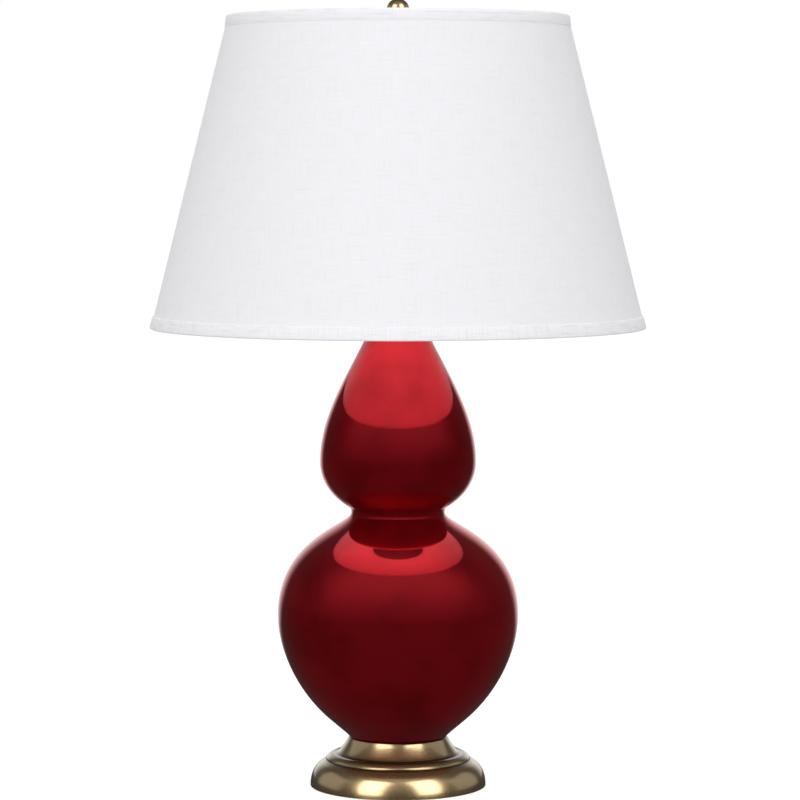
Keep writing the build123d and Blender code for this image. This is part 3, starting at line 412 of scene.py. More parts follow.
def finishes() -> dict[str, Finish]:
    """Lists the finish of each material slot.

    Returns:
        The record's slot name to its finish.
    """
    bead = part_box("foot_skirt")[1][2]
    creases = (bead - 5.9 * MM, bead + 0.2 * MM)
    return {
        # Stoneware with a fired lustre glaze: deep wet red, mirror-like, darker where it pooled.
        "ruby_glaze": LustreGlaze("ruby_lustre_glazed_stoneware", "d01c2a", "a00a14", 0.06,
                                  0.006 * MM, 0.02),
        # Brass spun on a lathe, waxed dark and lacquered: satin rings, brown in the creases.
        "antique_brass": Metal("spun_antique_brass", "b2986c", "4a3a18", 0.24, 0.002 * MM, 0.1,
                               Lay.TURNED, cloud_size=22 * MM, cloud_share=0.12, creases=creases,
                               lacquer=1.0, bare_share=0.95),
        # Steel wire and pressings under a thin brass plating: bright and a little cloudy.
        "plated_hardware": Metal("brass_plated_steel", "b8a06c", "6e5c38", 0.22, 0.003 * MM),
        # Brass drawn into a shell: bright yellow with fine rings.
        "socket_brass": Metal("drawn_socket_brass", "c2a66a", "7a6234", 0.20, 0.003 * MM, 0.1,
                              Lay.TURNED),
        # Brass strip, stamped: dull gold.
        "contact_brass": Metal("stamped_contact_brass", "caa65c", "7f6630", 0.28, 0.004 * MM),
        # Steel, zinc-plated: grey with small blotches.
        "zinc_steel": Metal("zinc_plated_steel", "b4b6b8", "7d7f80", 0.34, 0.006 * MM,
                            cloud_size=5 * MM),
        # Aluminium rolled into a cap: pale grey with fine rings.
        "cap_aluminium": Metal("rolled_cap_aluminium", "c4c5c6", "8f9092", 0.30, 0.004 * MM, 0.1,
                               Lay.TURNED),
        # Tin solder, dipped: dull and lumpy.
        "solder": Metal("dipped_solder", "a9abac", "6f7173", 0.42, 0.03 * MM, mark_size=0.8 * MM),
        # Tungsten, drawn into wire: dark and matt.
        "tungsten": Metal("drawn_tungsten", "6d6b68", "3c3a38", 0.50, 0.002 * MM),
        # Cotton, plain-woven and glued to its lining: matt white with a few thick yarns.
        "shade_cloth": PlainWeave("woven_hardback_cotton", "f5f4f8", "efeef1", 0.92, 0.012 * MM,
                                  0.02),
        # The same cotton cut into tape and folded: a little whiter and more open.
        "shade_tape": PlainWeave("woven_bias_tape", "faf9fd", "ecebee", 0.90, 0.015 * MM, 0.02,
                                 0.45 * MM, 0.90 * MM),
        # Styrene, rolled into sheet: smooth half-gloss white.
        "shade_styrene": Moulded("rolled_white_styrene", "f2f1ef", "e6e4df", 0.42, 0.006 * MM, 0.1,
                                 60 * MM),
        # Steel wire, powder-coated: off-white and faintly pebbled.
        "ring_paint": Moulded("powder_coated_wire", "ecebe6", "b9b4a6", 0.35, 0.02 * MM, 0.2,
                              8 * MM),
        # Wool, felted: a dark brown nap without gloss, with painted shade in the hollows between
        # the fibres.
        "felt": PressedFibre("pressed_wool_felt", "3a332c", "1c1815", 0.95, 0.10 * MM, 0.0),
        # Wood fibre, pressed hard: brown, flecked with painted shade in the hollows between the
        # fibres.
        "hardboard": PressedFibre("pressed_hardboard", "6b4a30", "3f2a1a", 0.80, 0.04 * MM, 0.1,
                                  0.8 * MM, sheen=0.0),
        # Cotton paper, vulcanised into card: tan and smooth, with painted shade in the hollows
        # between the fibres.
        "liner_card": PressedFibre("vulcanised_fibre_card", "8a6a4a", "5a4230", 0.70, 0.03 * MM,
                                   0.1, 0.6 * MM, sheen=0.0),
        # Nylon, injection-moulded: black with half a gloss.
        "nylon": Moulded("moulded_black_nylon", "1c1c1d", "3a3a3b", 0.45, 0.015 * MM, 0.2, 6 * MM),
        # Rubber, pressed into sheet: matt black, greyer where it is dusty.
        "gasket_rubber": Moulded("pressed_rubber_sheet", "2a2928", "4a4846", 0.70, 0.02 * MM, 0.1,
                                 7 * MM),
        # Phenolic, compression-moulded: a near-black, glossy brown.
        "phenolic": Moulded("moulded_black_phenolic", "1b1410", "3a2c20", 0.28, 0.006 * MM, 0.3,
                            5 * MM),
        # Soda-lime glass, blown and etched inside: milky.
        "frosted_glass": BlownGlass("inside_frosted_glass", "f7f7f5", "ecece8", 0.40, 0.03 * MM,
                                    0.15, 0.3),
        # Soda-lime glass, drawn: clear with a faint ripple.
        "clear_glass": BlownGlass("drawn_clear_glass", "f4f7f6", "eef3f1", 0.0, 0.02 * MM, 0.05),
        # Dark glass, pressed round the tip: black and shining.
        "black_glass": BlownGlass("pressed_black_glass", "101216", "1c2026", 0.08, 0.02 * MM, 0.1,
                                  0.0),
    }


class Finisher:
    """Makes each finish once and gives it to the pieces."""

    def __init__(self) -> None:
        """Lists the finishes and adds the bare clay, which has no slot of its own."""
        self.finishes = finishes()
        self.made: dict[str, bpy.types.Material] = {}
        self.clay = BareClay("bare_stoneware", "a88a68", "5a4636", 0.9, 0.06 * MM, 0.05).material()

    def give(self, slot: str) -> bpy.types.Material:
        """Gives a slot's material, and makes it the first time.

        Args:
            slot: The record's slot name.

        Returns:
            The slot's material.
        """
        if slot not in self.made:
            self.made[slot] = self.finishes[slot].material()
        return self.made[slot]

    def dress_cad(self, node: bpy.types.Object) -> None:
        """Gives a carried-over CAD piece the material of its slot.

        Args:
            node: The piece, whose own material is named after its slot.
        """
        for holder in node.material_slots:
            slot = holder.material.name.split(".")[0]
            if slot in self.finishes:
                holder.material = self.give(slot)


# ---- Shaping -------------------------------------------------------------------------------------
def bend(start: Point, pull: Point, drag: Point, end: Point, count: int = 24) -> list[Point]:
    """Follows a cubic curve without its first point.

    Args:
        start: Where it starts.
        pull: Where its start is drawn to.
        drag: Where its end comes from.
        end: Where it ends.
        count: Number of points.

    Returns:
        Points after the start, up to the end.
    """
    points = []
    for step in range(1, count + 1):
        t = step / count
        shares = ((1 - t) ** 3, 3 * t * (1 - t) ** 2, 3 * t * t * (1 - t), t ** 3)
        four = (start, pull, drag, end)
        points.append((sum(s * p[0] for s, p in zip(shares, four)),
                       sum(s * p[1] for s, p in zip(shares, four))))
    return points


def arc(middle: Point, radius: float, first: float, last: float, count: int = 8) -> list[Point]:
    """Follows an arc without its first point.

    Args:
        middle: The arc's centre.
        radius: Its radius.
        first: Angle that it starts at, in degrees above outwards.
        last: Angle that it ends at.
        count: Number of points.

    Returns:
        Points after the start, up to the end.
    """
    angles = [math.radians(first + (last - first) * step / count) for step in range(1, count + 1)]
    return [(middle[0] + radius * math.cos(a), middle[1] + radius * math.sin(a)) for a in angles]


def polar(origin: Point, angle: float, distance: float) -> Point:
    """Gives the point at a distance and an angle in degrees above outwards from an origin."""
    return (origin[0] + distance * math.cos(math.radians(angle)),
            origin[1] + distance * math.sin(math.radians(angle)))


class Wheel:
    """Geometry Nodes tree that turns a closed outline about the lamp's axis, as a wheel does."""

    CREASE_ANGLE = 0.55
    WELD = 0.002 * MM

    def __init__(self, reach: float = 0.4) -> None:
        """Builds the tree.

        Args:
            reach: Radius of the guide circle, larger than any outline.
        """
        self.reach = reach
        self.tree = bpy.data.node_groups.new("turned_outline", "GeometryNodeTree")
        self.sockets = add_inputs(self.tree, {
            "Segments": ("NodeSocketInt", 192), "Guide Radius": ("NodeSocketFloat", reach),
            "Crease Angle": ("NodeSocketFloat", self.CREASE_ANGLE),
            "Material": ("NodeSocketMaterial", None)})
        tree = self.tree
        given = put(tree, "NodeGroupInput")
        outline = put(tree, "GeometryNodeMeshToCurve", {0: given})
        guide = put(tree, "GeometryNodeCurvePrimitiveCircle",
                    {"Resolution": given.outputs["Segments"],
                     "Radius": given.outputs["Guide Radius"]})
        swept = put(tree, "GeometryNodeCurveToMesh", {0: guide, "Profile Curve": outline})
        closed = put(tree, "GeometryNodeMergeByDistance", {0: swept, "Distance": self.WELD})
        smooth = put(tree, SMOOTH, {0: closed, "Shade Smooth": True})
        angle = put(tree, "GeometryNodeInputMeshEdgeAngle")
        sharp = put(tree, "FunctionNodeCompare", {0: angle, 1: given.outputs["Crease Angle"]},
                    operation="GREATER_THAN")
        creased = put(tree, SMOOTH,
                      {0: smooth, "Selection": sharp, "Shade Smooth": False}, domain="EDGE")
        finish_tree(tree, given, creased)

    def turn(self, name: str, outline: Iterable[Point], segments: int,
             material: bpy.types.Material) -> bpy.types.Object:
        """Turns one piece.

        Args:
            name: The piece's name.
            outline: Closed outline as (radius, height).
            segments: Steps round the axis, a multiple of four so that one lies at the rear.
            material: The piece's finish.

        Returns:
            The turned piece as a plain mesh.
        """
        line = [(radius - self.reach, -height, 0.0) for radius, height in outline]
        return grow(name, line, self.tree, self.sockets,
                    {"Segments": segments, "Material": material})


class ThreadRoller:
    """Geometry Nodes tree that rolls a helical ridge round the lamp's axis."""

    # The ridge's width as a share of the pitch, halved, and its section: each point's share of the
    # rise, inwards, and of half the width, up.
    HALF_SHARE = 0.42
    SECTION = ((0.12, -1.0), (-0.6, -0.4), (-1.0, 0.0), (-0.6, 0.4), (0.12, 1.0))

    def __init__(self) -> None:
        """Builds the tree."""
        self.tree = bpy.data.node_groups.new("helical_thread", "GeometryNodeTree")
        self.sockets = add_inputs(self.tree, {"Steps per Turn": ("NodeSocketInt", 32),
                                              "Turns": ("NodeSocketFloat", 5.0),
                                              "Radius": ("NodeSocketFloat", 3 * MM),
                                              "Length": ("NodeSocketFloat", 10 * MM),
                                              "Start Height": ("NodeSocketFloat", 0.0),
                                              "Material": ("NodeSocketMaterial", None)})
        tree = self.tree
        given = put(tree, "NodeGroupInput")
        helix = put(tree, "GeometryNodeCurveSpiral",
                    {"Resolution": given.outputs["Steps per Turn"],
                     "Rotations": given.outputs["Turns"], "Height": given.outputs["Length"],
                     "Start Radius": given.outputs["Radius"],
                     "End Radius": given.outputs["Radius"]})
        upright = put(tree, "GeometryNodeSetCurveNormal", {0: helix}, mode="Z_UP")
        ridge = put(tree, "GeometryNodeMeshToCurve", {0: given})
        swept = put(tree, "GeometryNodeCurveToMesh",
                    {0: upright, "Profile Curve": ridge, "Fill Caps": True})
        lift = put(tree, JOIN, {2: given.outputs["Start Height"]})
        placed = put(tree, "GeometryNodeTransform", {0: swept, "Translation": lift})
        smooth = put(tree, SMOOTH, {0: placed, "Shade Smooth": True})
        finish_tree(tree, given, smooth)

    def roll(self, name: str, radius: float, crest: float, low: float, high: float, pitch: float,
             material: bpy.types.Material) -> bpy.types.Object:
        """Rolls one thread.

        Args:
            name: The piece's name.
            radius: Radius of the core that the ridge sits in.
            crest: Radius of the ridge's crest.
            low: Height where the thread starts.
            high: Height where it ends.
            pitch: Rise of one turn.
            material: The thread's finish.

        Returns:
            The ridge as a plain mesh.
        """
        half = self.HALF_SHARE * pitch
        rise = crest - radius
        ridge = [(share * rise, up * half, 0.0) for share, up in self.SECTION]
        length = high - low - 2 * half
        return grow(name, ridge, self.tree, self.sockets,
                    {"Turns": length / pitch, "Radius": radius, "Length": length,
                     "Start Height": low + half, "Material": material})


def add_inputs(tree: Tree, inputs: dict[str, tuple[str, object]]) -> dict[str, str]:
    """Gives a tree its named inputs.

    Args:
        tree: The tree.
        inputs: Input name to its socket type and usual value.

    Returns:
        Input name to its socket's identifier.
    """
    tree.interface.new_socket("Geometry", in_out="INPUT", socket_type="NodeSocketGeometry")
    tree.interface.new_socket("Geometry", in_out="OUTPUT", socket_type="NodeSocketGeometry")
    found = {}
    for name, (kind, usual) in inputs.items():
        socket = tree.interface.new_socket(name, in_out="INPUT", socket_type=kind)
        if usual is not None:
            socket.default_value = usual
        found[name] = socket.identifier
    return found


def finish_tree(tree: Tree, given: Node, shape: Node) -> None:
    """Ends a tree with real geometry in its material.

    Args:
        tree: The tree.
        given: Its group input.
        shape: Node whose geometry comes out.
    """
    real = put(tree, "GeometryNodeRealizeInstances", {0: shape})
    dressed = put(tree, "GeometryNodeSetMaterial", {0: real, "Material": given.outputs["Material"]})
    put(tree, "NodeGroupOutput", {0: dressed})


def grow(name: str, line: list[tuple[float, float, float]], tree: Tree, sockets: dict[str, str],
         values: dict[str, object]) -> bpy.types.Object:
    """Runs a tree on a closed outline and keeps the result as a plain mesh.

    Args:
        name: The piece's name.
        line: The outline's points.
        tree: The Geometry Nodes tree.
        sockets: Input name to socket identifier.
        values: Input name to value.

    Returns:
        The piece, its faces pointing outwards.
    """
    edges = [(index, (index + 1) % len(line)) for index in range(len(line))]
    drawn = bpy.data.meshes.new(name + "_outline")
    drawn.from_pydata(line, edges, [])
    piece = bpy.data.objects.new(name, drawn)
    bpy.context.scene.collection.objects.link(piece)
    modifier = piece.modifiers.new("shape", "NODES")
    modifier.node_group = tree
    for key, value in values.items():
        modifier[sockets[key]] = value
    depsgraph = bpy.context.evaluated_depsgraph_get()
    shaped = bpy.data.meshes.new_from_object(piece.evaluated_get(depsgraph))
    piece.modifiers.remove(modifier)
    piece.data = shaped
    shaped.name = name
    bpy.data.meshes.remove(drawn)
    face_outwards(shaped)
    return piece


def face_outwards(mesh: bpy.types.Mesh) -> None:
    """Points a closed mesh's faces outwards.

    Args:
        mesh: The mesh.
    """
    work = bmesh.new()
    work.from_mesh(mesh)
    bmesh.ops.recalc_face_normals(work, faces=work.faces)
    if work.calc_volume(signed=True) < 0:
        bmesh.ops.reverse_faces(work, faces=work.faces)
    work.to_mesh(mesh)
    work.free()


def map_cut(piece: bpy.types.Object, cone: "ConeCut") -> None:
    """Lays a turned piece out on its flat cut, parted at the rear.

    Args:
        piece: The piece.
        cone: How the cut is rolled up.
    """
    mesh = piece.data
    layer = mesh.uv_layers.new(name=CUT_MAP)
    for face in mesh.polygons:
        turns = []
        for corner in face.loop_indices:
            spot = mesh.vertices[mesh.loops[corner].vertex_index].co
            turns.append((corner, math.atan2(-spot.x, spot.y) % FULL_TURN, spot))
        middle = math.atan2(-face.center.x, face.center.y) % FULL_TURN
        for corner, turn, spot in turns:
            if turn - middle > math.pi:
                turn -= FULL_TURN
            elif middle - turn > math.pi:
                turn += FULL_TURN
            layer.data[corner].uv = cone.lay(turn - math.pi, spot.xy.length, spot.z)


@dataclass(frozen=True)
class ConeCut:
    """Flat cut of a cone-shaped cloth, which is part of a ring."""

    top_radius: float
    bottom_radius: float
    height: float

    @property
    def slant(self) -> float:
        """Gives the length of the cone's side."""
        return math.hypot(self.bottom_radius - self.top_radius, self.height)

    @property
    def share(self) -> float:
        """Gives the part of a full turn that the flat ring takes up."""
        return (self.bottom_radius - self.top_radius) / self.slant

    def lay(self, turn: float, radius: float, height: float) -> Point:
        """Lays a point of the cone flat.

        Args:
            turn: Angle round the lamp from its front.
            radius: Distance from the lamp's axis.
            height: Height above the floor. Not used, as the cone's radius already gives it.

        Returns:
            The point on the flat cut in metres.
        """
        out = radius / self.share
        return (out * math.sin(turn * self.share), -out * math.cos(turn * self.share))

    def flat(self) -> tuple[Point, float]:
        """Works out the rectangle around the cut, which spans less than half a ring, and its area.

        Returns:
            Width and length in metres, and the area in square metres.
        """
        outer = self.bottom_radius / self.share
        inner = self.top_radius / self.share
        half = math.pi * self.share
        width = 2 * outer * math.sin(half)
        length = outer - inner * math.cos(half)
        return (width, length), half * (outer ** 2 - inner ** 2)


@dataclass(frozen=True)
class TapeCut:
    """Flat cut of a straight tape laid round a rim."""

    radius: float

    def lay(self, turn: float, radius: float, height: float) -> Point:
        """Lays a point of the tape flat, its length round the rim and its width across."""
        return (turn * self.radius, height + radius)


# ---- Sub-assemblies ------------------------------------------------------------------------------
@dataclass
class GourdBody:
    """Double gourd of glazed stoneware, one hollow piece that stands for the three CAD parts."""

    wall: float = 5.5 * MM
    edge_radius: float = 46.7 * MM
    edge_height: float = 3.5 * MM
    edge_slope: float = 69.0
    edge_pull: float = 3.1 * MM
    ring_width: float = 7.0 * MM
    ring_height: float = 2.0 * MM
    hole_radius: float = 20.0 * MM
    flare_radius: float = 72.1 * MM
    flare_rise: float = 26.5 * MM
    flare_slope: float = 42.2
    flare_pulls: Point = (12.0 * MM, 43.1 * MM)
    belly_pulls: Point = (32.3 * MM, 71.2 * MM)
    waist_radius: float = 47.1 * MM
    waist_fillet: float = 6.0 * MM
    waist_angles: Point = (36.9, 58.1)
    waist_pulls: Point = (14.6 * MM, 20.5 * MM)
    lobe_rise: float = 51.0 * MM
    lobe_pulls: Point = (20.3 * MM, 41.7 * MM)
    taper_radius: float = 35.6 * MM
    taper_drop: float = 39.9 * MM
    taper_slope: float = 62.9
    taper_pulls: Point = (43.2 * MM, 16.0 * MM)
    neck_radius: float = 20.9 * MM
    neck_straight: float = 8.0 * MM
    neck_pull: float = 14.0 * MM
    rim_round: float = 1.0 * MM
    bare_share: float = 0.9
    face_in: float = -0.05
    outer_steps: int = 28
    inner_steps: int = 12
    foot_steps: int = 16
    floor_steps: int = 8
    rim_steps: int = 5
    segments: int = 224

    def __post_init__(self) -> None:
        """Takes the heights and the widest radii from the frame, and follows the glazed face."""
        low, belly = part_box("gourd_bowl")
        self.ground = low[2]
        self.belly = (belly[0], belly[2])
        self.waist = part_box("gourd_shoulder")[1][2]
        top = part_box("gourd_upper")[1]
        self.lobe = (top[0], self.waist + self.lobe_rise)
        self.neck_top = top[2]
        self.glazed = self.side(0.0, self.outer_steps)

    def side(self, inset: float, count: int) -> list[Point]:
        """Follows the wall from the flare up to the neck.

        Args:
            inset: How far inside the glazed face it runs.
            count: Points on each curve.

        Returns:
            Points from the flare to the neck.
        """
        flare = polar((self.flare_radius, self.ground + self.flare_rise), self.flare_slope + 90,
                      inset)
        belly = (self.belly[0] - inset, self.belly[1])
        middle = (self.waist_radius + self.waist_fillet, self.waist)
        round_off = self.waist_fillet + inset
        low_angle, high_angle = self.waist_angles
        low = polar(middle, 180 + low_angle, round_off)
        high = polar(middle, 180 - high_angle, round_off)
        lobe = (self.lobe[0] - inset, self.lobe[1])
        taper = polar((self.taper_radius, self.neck_top - self.taper_drop), 270 - self.taper_slope,
                      inset)
        neck = (self.neck_radius - inset, self.neck_top - self.neck_straight)
        points = [flare]
        points += bend(flare, polar(flare, self.flare_slope, self.flare_pulls[1]),
                       (belly[0], belly[1] - self.belly_pulls[0]), belly, count)
        points += bend(belly, (belly[0], belly[1] + self.belly_pulls[1]),
                       polar(low, low_angle - 90, self.waist_pulls[0]), low, count)
        points += arc(middle, round_off, 180 + low_angle, 180 - high_angle, count // 2)
        points += bend(high, polar(high, 90 - high_angle, self.waist_pulls[1]),
                       (lobe[0], lobe[1] - self.lobe_pulls[0]), lobe, count)
        points += bend(lobe, (lobe[0], lobe[1] + self.lobe_pulls[1]),
                       polar(taper, -self.taper_slope, self.taper_pulls[0]), taper, count)
        points += bend(taper, polar(taper, 180 - self.taper_slope, self.taper_pulls[1]),
                       (neck[0], neck[1] - self.neck_pull), neck, count)
        return points

    def outline(self) -> list[Point]:
        """Draws the whole wall's closed outline.

        Returns:
            Points up the glazed face, over the rim, down the inside and round the foot ring.
        """
        edge = (self.edge_radius, self.ground + self.edge_height)
        tread = (self.edge_radius - self.edge_height / math.tan(math.radians(self.edge_slope)),
                 self.ground)
        inside = self.side(self.wall, self.inner_steps)
        flare = self.glazed[0]
        points = [tread, edge]
        points += bend(edge, polar(edge, self.edge_slope, self.edge_pull),
                       polar(flare, self.flare_slope + 180, self.flare_pulls[0]), flare,
                       self.foot_steps)
        points += self.glazed[1:]
        rim = (self.neck_radius - self.rim_round, self.neck_top - self.rim_round)
        lip = (self.neck_radius - self.wall + self.rim_round, rim[1])
        points += [(self.neck_radius, rim[1])] + arc(rim, self.rim_round, 0, 90, self.rim_steps)
        points += [(lip[0], self.neck_top)] + arc(lip, self.rim_round, 90, 180, self.rim_steps)
        points += inside[::-1]
        floor = self.ground + self.ring_height + self.wall
        middle = (tread[0] - self.ring_width / 2, floor)
        points += bend(inside[0], polar(inside[0], self.flare_slope + 180, self.flare_pulls[0]),
                       (middle[0] + self.ring_width / 2, floor), middle, self.floor_steps)
        points += [(self.hole_radius, floor), (self.hole_radius, self.ground + self.ring_height),
                   (tread[0] - self.ring_width, self.ground + self.ring_height),
                   (tread[0] - self.ring_width, self.ground)]
        return points

    def build(self, wheel: Wheel, finisher: Finisher) -> bpy.types.Object:
        """Throws the body and leaves its foot ring and inside bare.

        Args:
            wheel: Turns the outline.
            finisher: Gives the glaze and the clay.

        Returns:
            The finished body.
        """
        body = wheel.turn("gourd_ceramic", self.outline(), self.segments,
                          finisher.give("ruby_glaze"))
        body.data.materials.append(finisher.clay)
        bare_edge = self.ground + self.bare_share * self.edge_height
        for face in body.data.polygons:
            out = Vector((face.center.x, face.center.y)).normalized()
            inward = face.normal.x * out.x + face.normal.y * out.y
            at_neck = face.center.z > self.neck_top - 2 * self.rim_round
            if face.center.z < bare_edge or (inward < self.face_in and not at_neck
                                             and not self.on_face(face.center)):
                face.material_index = 1
        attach(body, "lamp")
        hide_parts("gourd_bowl", "gourd_shoulder", "gourd_upper")
        return body

    def on_face(self, spot: Vector) -> bool:
        """Tells whether a point lies on the glazed face rather than the hidden one.

        Args:
            spot: Middle of a face of the body.

        Returns:
            Whether it is within a third of the wall of the glazed outline.
        """
        radius = spot.xy.length
        near = min(math.hypot(radius - r, spot.z - z) for r, z in self.glazed)
        return near < self.wall / 3


@dataclass(frozen=True)
class Rim:
    """One rim: the way to the cloth's middle, its radius, and its tape's and wire's sizes."""

    way: float
    radius: float
    height: float
    stand: float
    edge: float
    rounding: float
    wire: float


@dataclass
class HardbackShade:
    """Tapered cloth shade: the cloth on its liner, its glued lap, and a folded tape on each rim."""

    top_radius: float = 168.4 * MM
    bottom_radius: float = 246.5 * MM
    cloth: float = 0.8 * MM
    liner: float = 0.8 * MM
    tape: float = 1.2 * MM
    gap: float = 0.1 * MM
    inner_height: float = 6.5 * MM
    edge_round: float = 0.5 * MM
    edge_share: float = 0.6
    cloth_steps: int = 24
    lap_width: float = 12.0 * MM
    lap_stand: float = 0.35 * MM
    lap_under: float = 1.0 * MM
    lap_rows: int = 16
    lap_across: tuple[Point, ...] = ((-0.5, -0.1), (-0.42, 1.0), (0.42, 1.0), (0.5, -0.1))
    arms: tuple[float, ...] = (90.0, 210.0, 330.0)
    notch_half: float = 2.6 * MM
    notch_depth: float = 2.2
    notch_share: float = 0.9
    segments: int = 256

    def __post_init__(self) -> None:
        """Takes the rims' heights from the frame and sets up the rims."""
        self.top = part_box("top_trim")[1][2]
        self.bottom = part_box("bottom_trim")[0][2]
        self.top_rim = Rim(-1.0, self.top_radius, 11.5 * MM, 2.5 * MM, 0.5 * MM, 3.0 * MM, 1.5 * MM)
        self.bottom_rim = Rim(1.0, self.bottom_radius, 12.7 * MM, 1.2 * MM, 1.5 * MM, 1.9 * MM,
                              1.6 * MM)
        self.slope = (self.bottom_radius - self.top_radius) / (self.top - self.bottom)
        self.lean = math.cos(math.atan(self.slope))

    def radius(self, height: float) -> float:
        """Gives the cloth's outer radius at a height."""
        return self.top_radius + (self.top - height) * self.slope

    def cut(self) -> ConeCut:
        """Gives the cloth's flat cut, whose ends lie under the tapes."""
        low, high = self.bottom + self.tape, self.top - self.tape
        return ConeCut(self.radius(high), self.radius(low), high - low)

    def cloth_outline(self) -> list[Point]:
        """Draws the cloth's thin closed outline.

        Returns:
            Points up the outside and down the inside.
        """
        low, high = self.bottom + self.tape, self.top - self.tape
        steps = self.cloth_steps
        heights = [low + (high - low) * step / steps for step in range(steps + 1)]
        inner = self.cloth / self.lean
        return ([(self.radius(z), z) for z in heights]
                + [(self.radius(z) - inner, z) for z in heights[::-1]])

    def tape_outline(self, rim: Rim) -> list[Point]:
        """Draws one tape folded over its rim.

        Args:
            rim: The rim that the tape covers.

        Returns:
            The closed outline.
        """
        level = self.top if rim is self.top_rim else self.bottom
        way, rounding = rim.way, rim.rounding
        wire_z = level + way * (self.tape + self.gap + rim.wire)
        depth = (self.cloth + self.liner + self.gap + rim.wire) / self.lean
        pocket = self.radius(wire_z) - depth - rim.wire - self.gap
        back = pocket - self.tape
        edge, hollow, leg = (level + way * reach for reach in (rim.height, self.tape,
                                                              self.inner_height))
        close = self.gap / 2
        outer = rim.radius + rim.stand
        roll = level + way * rounding
        points = [(self.radius(hollow) + close, hollow), (self.radius(edge) + close, edge),
                  (self.radius(edge) + self.edge_share * rim.edge, edge),
                  (self.radius(edge) + rim.edge, edge - way * self.edge_round), (outer, roll)]
        points += arc((outer - rounding, roll), rounding, 0, -90 * way, 6)
        turn = (back + self.tape, hollow)
        points += [(turn[0], level)] + arc(turn, self.tape, -90 * way, -180 * way, 5)
        points += [(back, leg), (pocket, leg), (pocket, hollow)]
        return points

    def build(self, wheel: Wheel, finisher: Finisher) -> list[bpy.types.Object]:
        """Args:
            wheel: Turns the outlines.
            finisher: Gives the cloth and the tape.

        Returns:
            The cloth, its lap and the two tapes.
        """
        cut = self.cut()
        cloth = wheel.turn("shade_cloth", self.cloth_outline(), self.segments,
                           finisher.give("shade_cloth"))
        map_cut(cloth, cut)
        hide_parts("shade_fabric")
        lap = self.lap(cut, finisher.give("shade_cloth"))
        tapes = []
        for node, rim in (("top_trim", self.top_rim), ("bottom_trim", self.bottom_rim)):
            tape = wheel.turn(node + "_tape", self.tape_outline(rim), self.segments,
                              finisher.give("shade_tape"))
            if rim is self.top_rim:
                self.notch(tape)
            map_cut(tape, TapeCut(rim.radius))
            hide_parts(node)
            tapes.append(tape)
        pieces = [cloth, lap, *tapes]
        for piece in pieces:
            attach(piece, "shade")
        flat, area = cut.flat()
        return pieces

    def lap(self, cut: ConeCut, material: bpy.types.Material) -> bpy.types.Object:
        """Makes the lap where the cloth's ends are glued over each other at the rear.

        Args:
            cut: The cloth's flat cut.
            material: The cloth's finish.

        Returns:
            The lap, a thin closed strip with softened sides.
        """
        low = self.bottom + self.bottom_rim.height - self.lap_under
        high = self.top - self.top_rim.height + self.lap_under
        rows = self.lap_rows
        corners, faces = [], []
        for row in range(rows + 1):
            height = low + (high - low) * row / rows
            for share, lift in self.lap_across:
                out = self.radius(height) + lift * self.lap_stand
                turn = math.pi / 2 + share * self.lap_width / out
                corners.append((out * math.cos(turn), out * math.sin(turn), height))
        for row in range(rows):
            base = 4 * row
            for side in range(4):
                after = (side + 1) % 4
                faces.append((base + side, base + after, base + 4 + after, base + 4 + side))
        faces += [(3, 2, 1, 0), tuple(4 * rows + side for side in range(4))]
        mesh = bpy.data.meshes.new("shade_lap")
        mesh.from_pydata(corners, [], faces)
        face_outwards(mesh)
        mesh.materials.append(material)
        lap = bpy.data.objects.new("shade_lap", mesh)
        bpy.context.scene.collection.objects.link(lap)
        map_cut(lap, cut)
        return lap

    def notch(self, tape: bpy.types.Object) -> None:
        """Lifts the top tape's inner leg clear of the spider's three arms.

        Args:
            tape: The top tape.
        """
        limit = self.radius(self.top) - self.notch_depth * (self.cloth + self.liner)
        for spot in tape.data.vertices:
            flat = spot.co.xy.length
            if flat > limit or spot.co.z > self.top - self.tape:
                continue
            for arm in self.arms:
                away = Vector((math.cos(math.radians(arm)), math.sin(math.radians(arm))))
                if spot.co.xy.dot(away) > 0 and abs(spot.co.xy.cross(away)) < self.notch_half:
                    spot.co.z = self.top - self.notch_share * self.tape


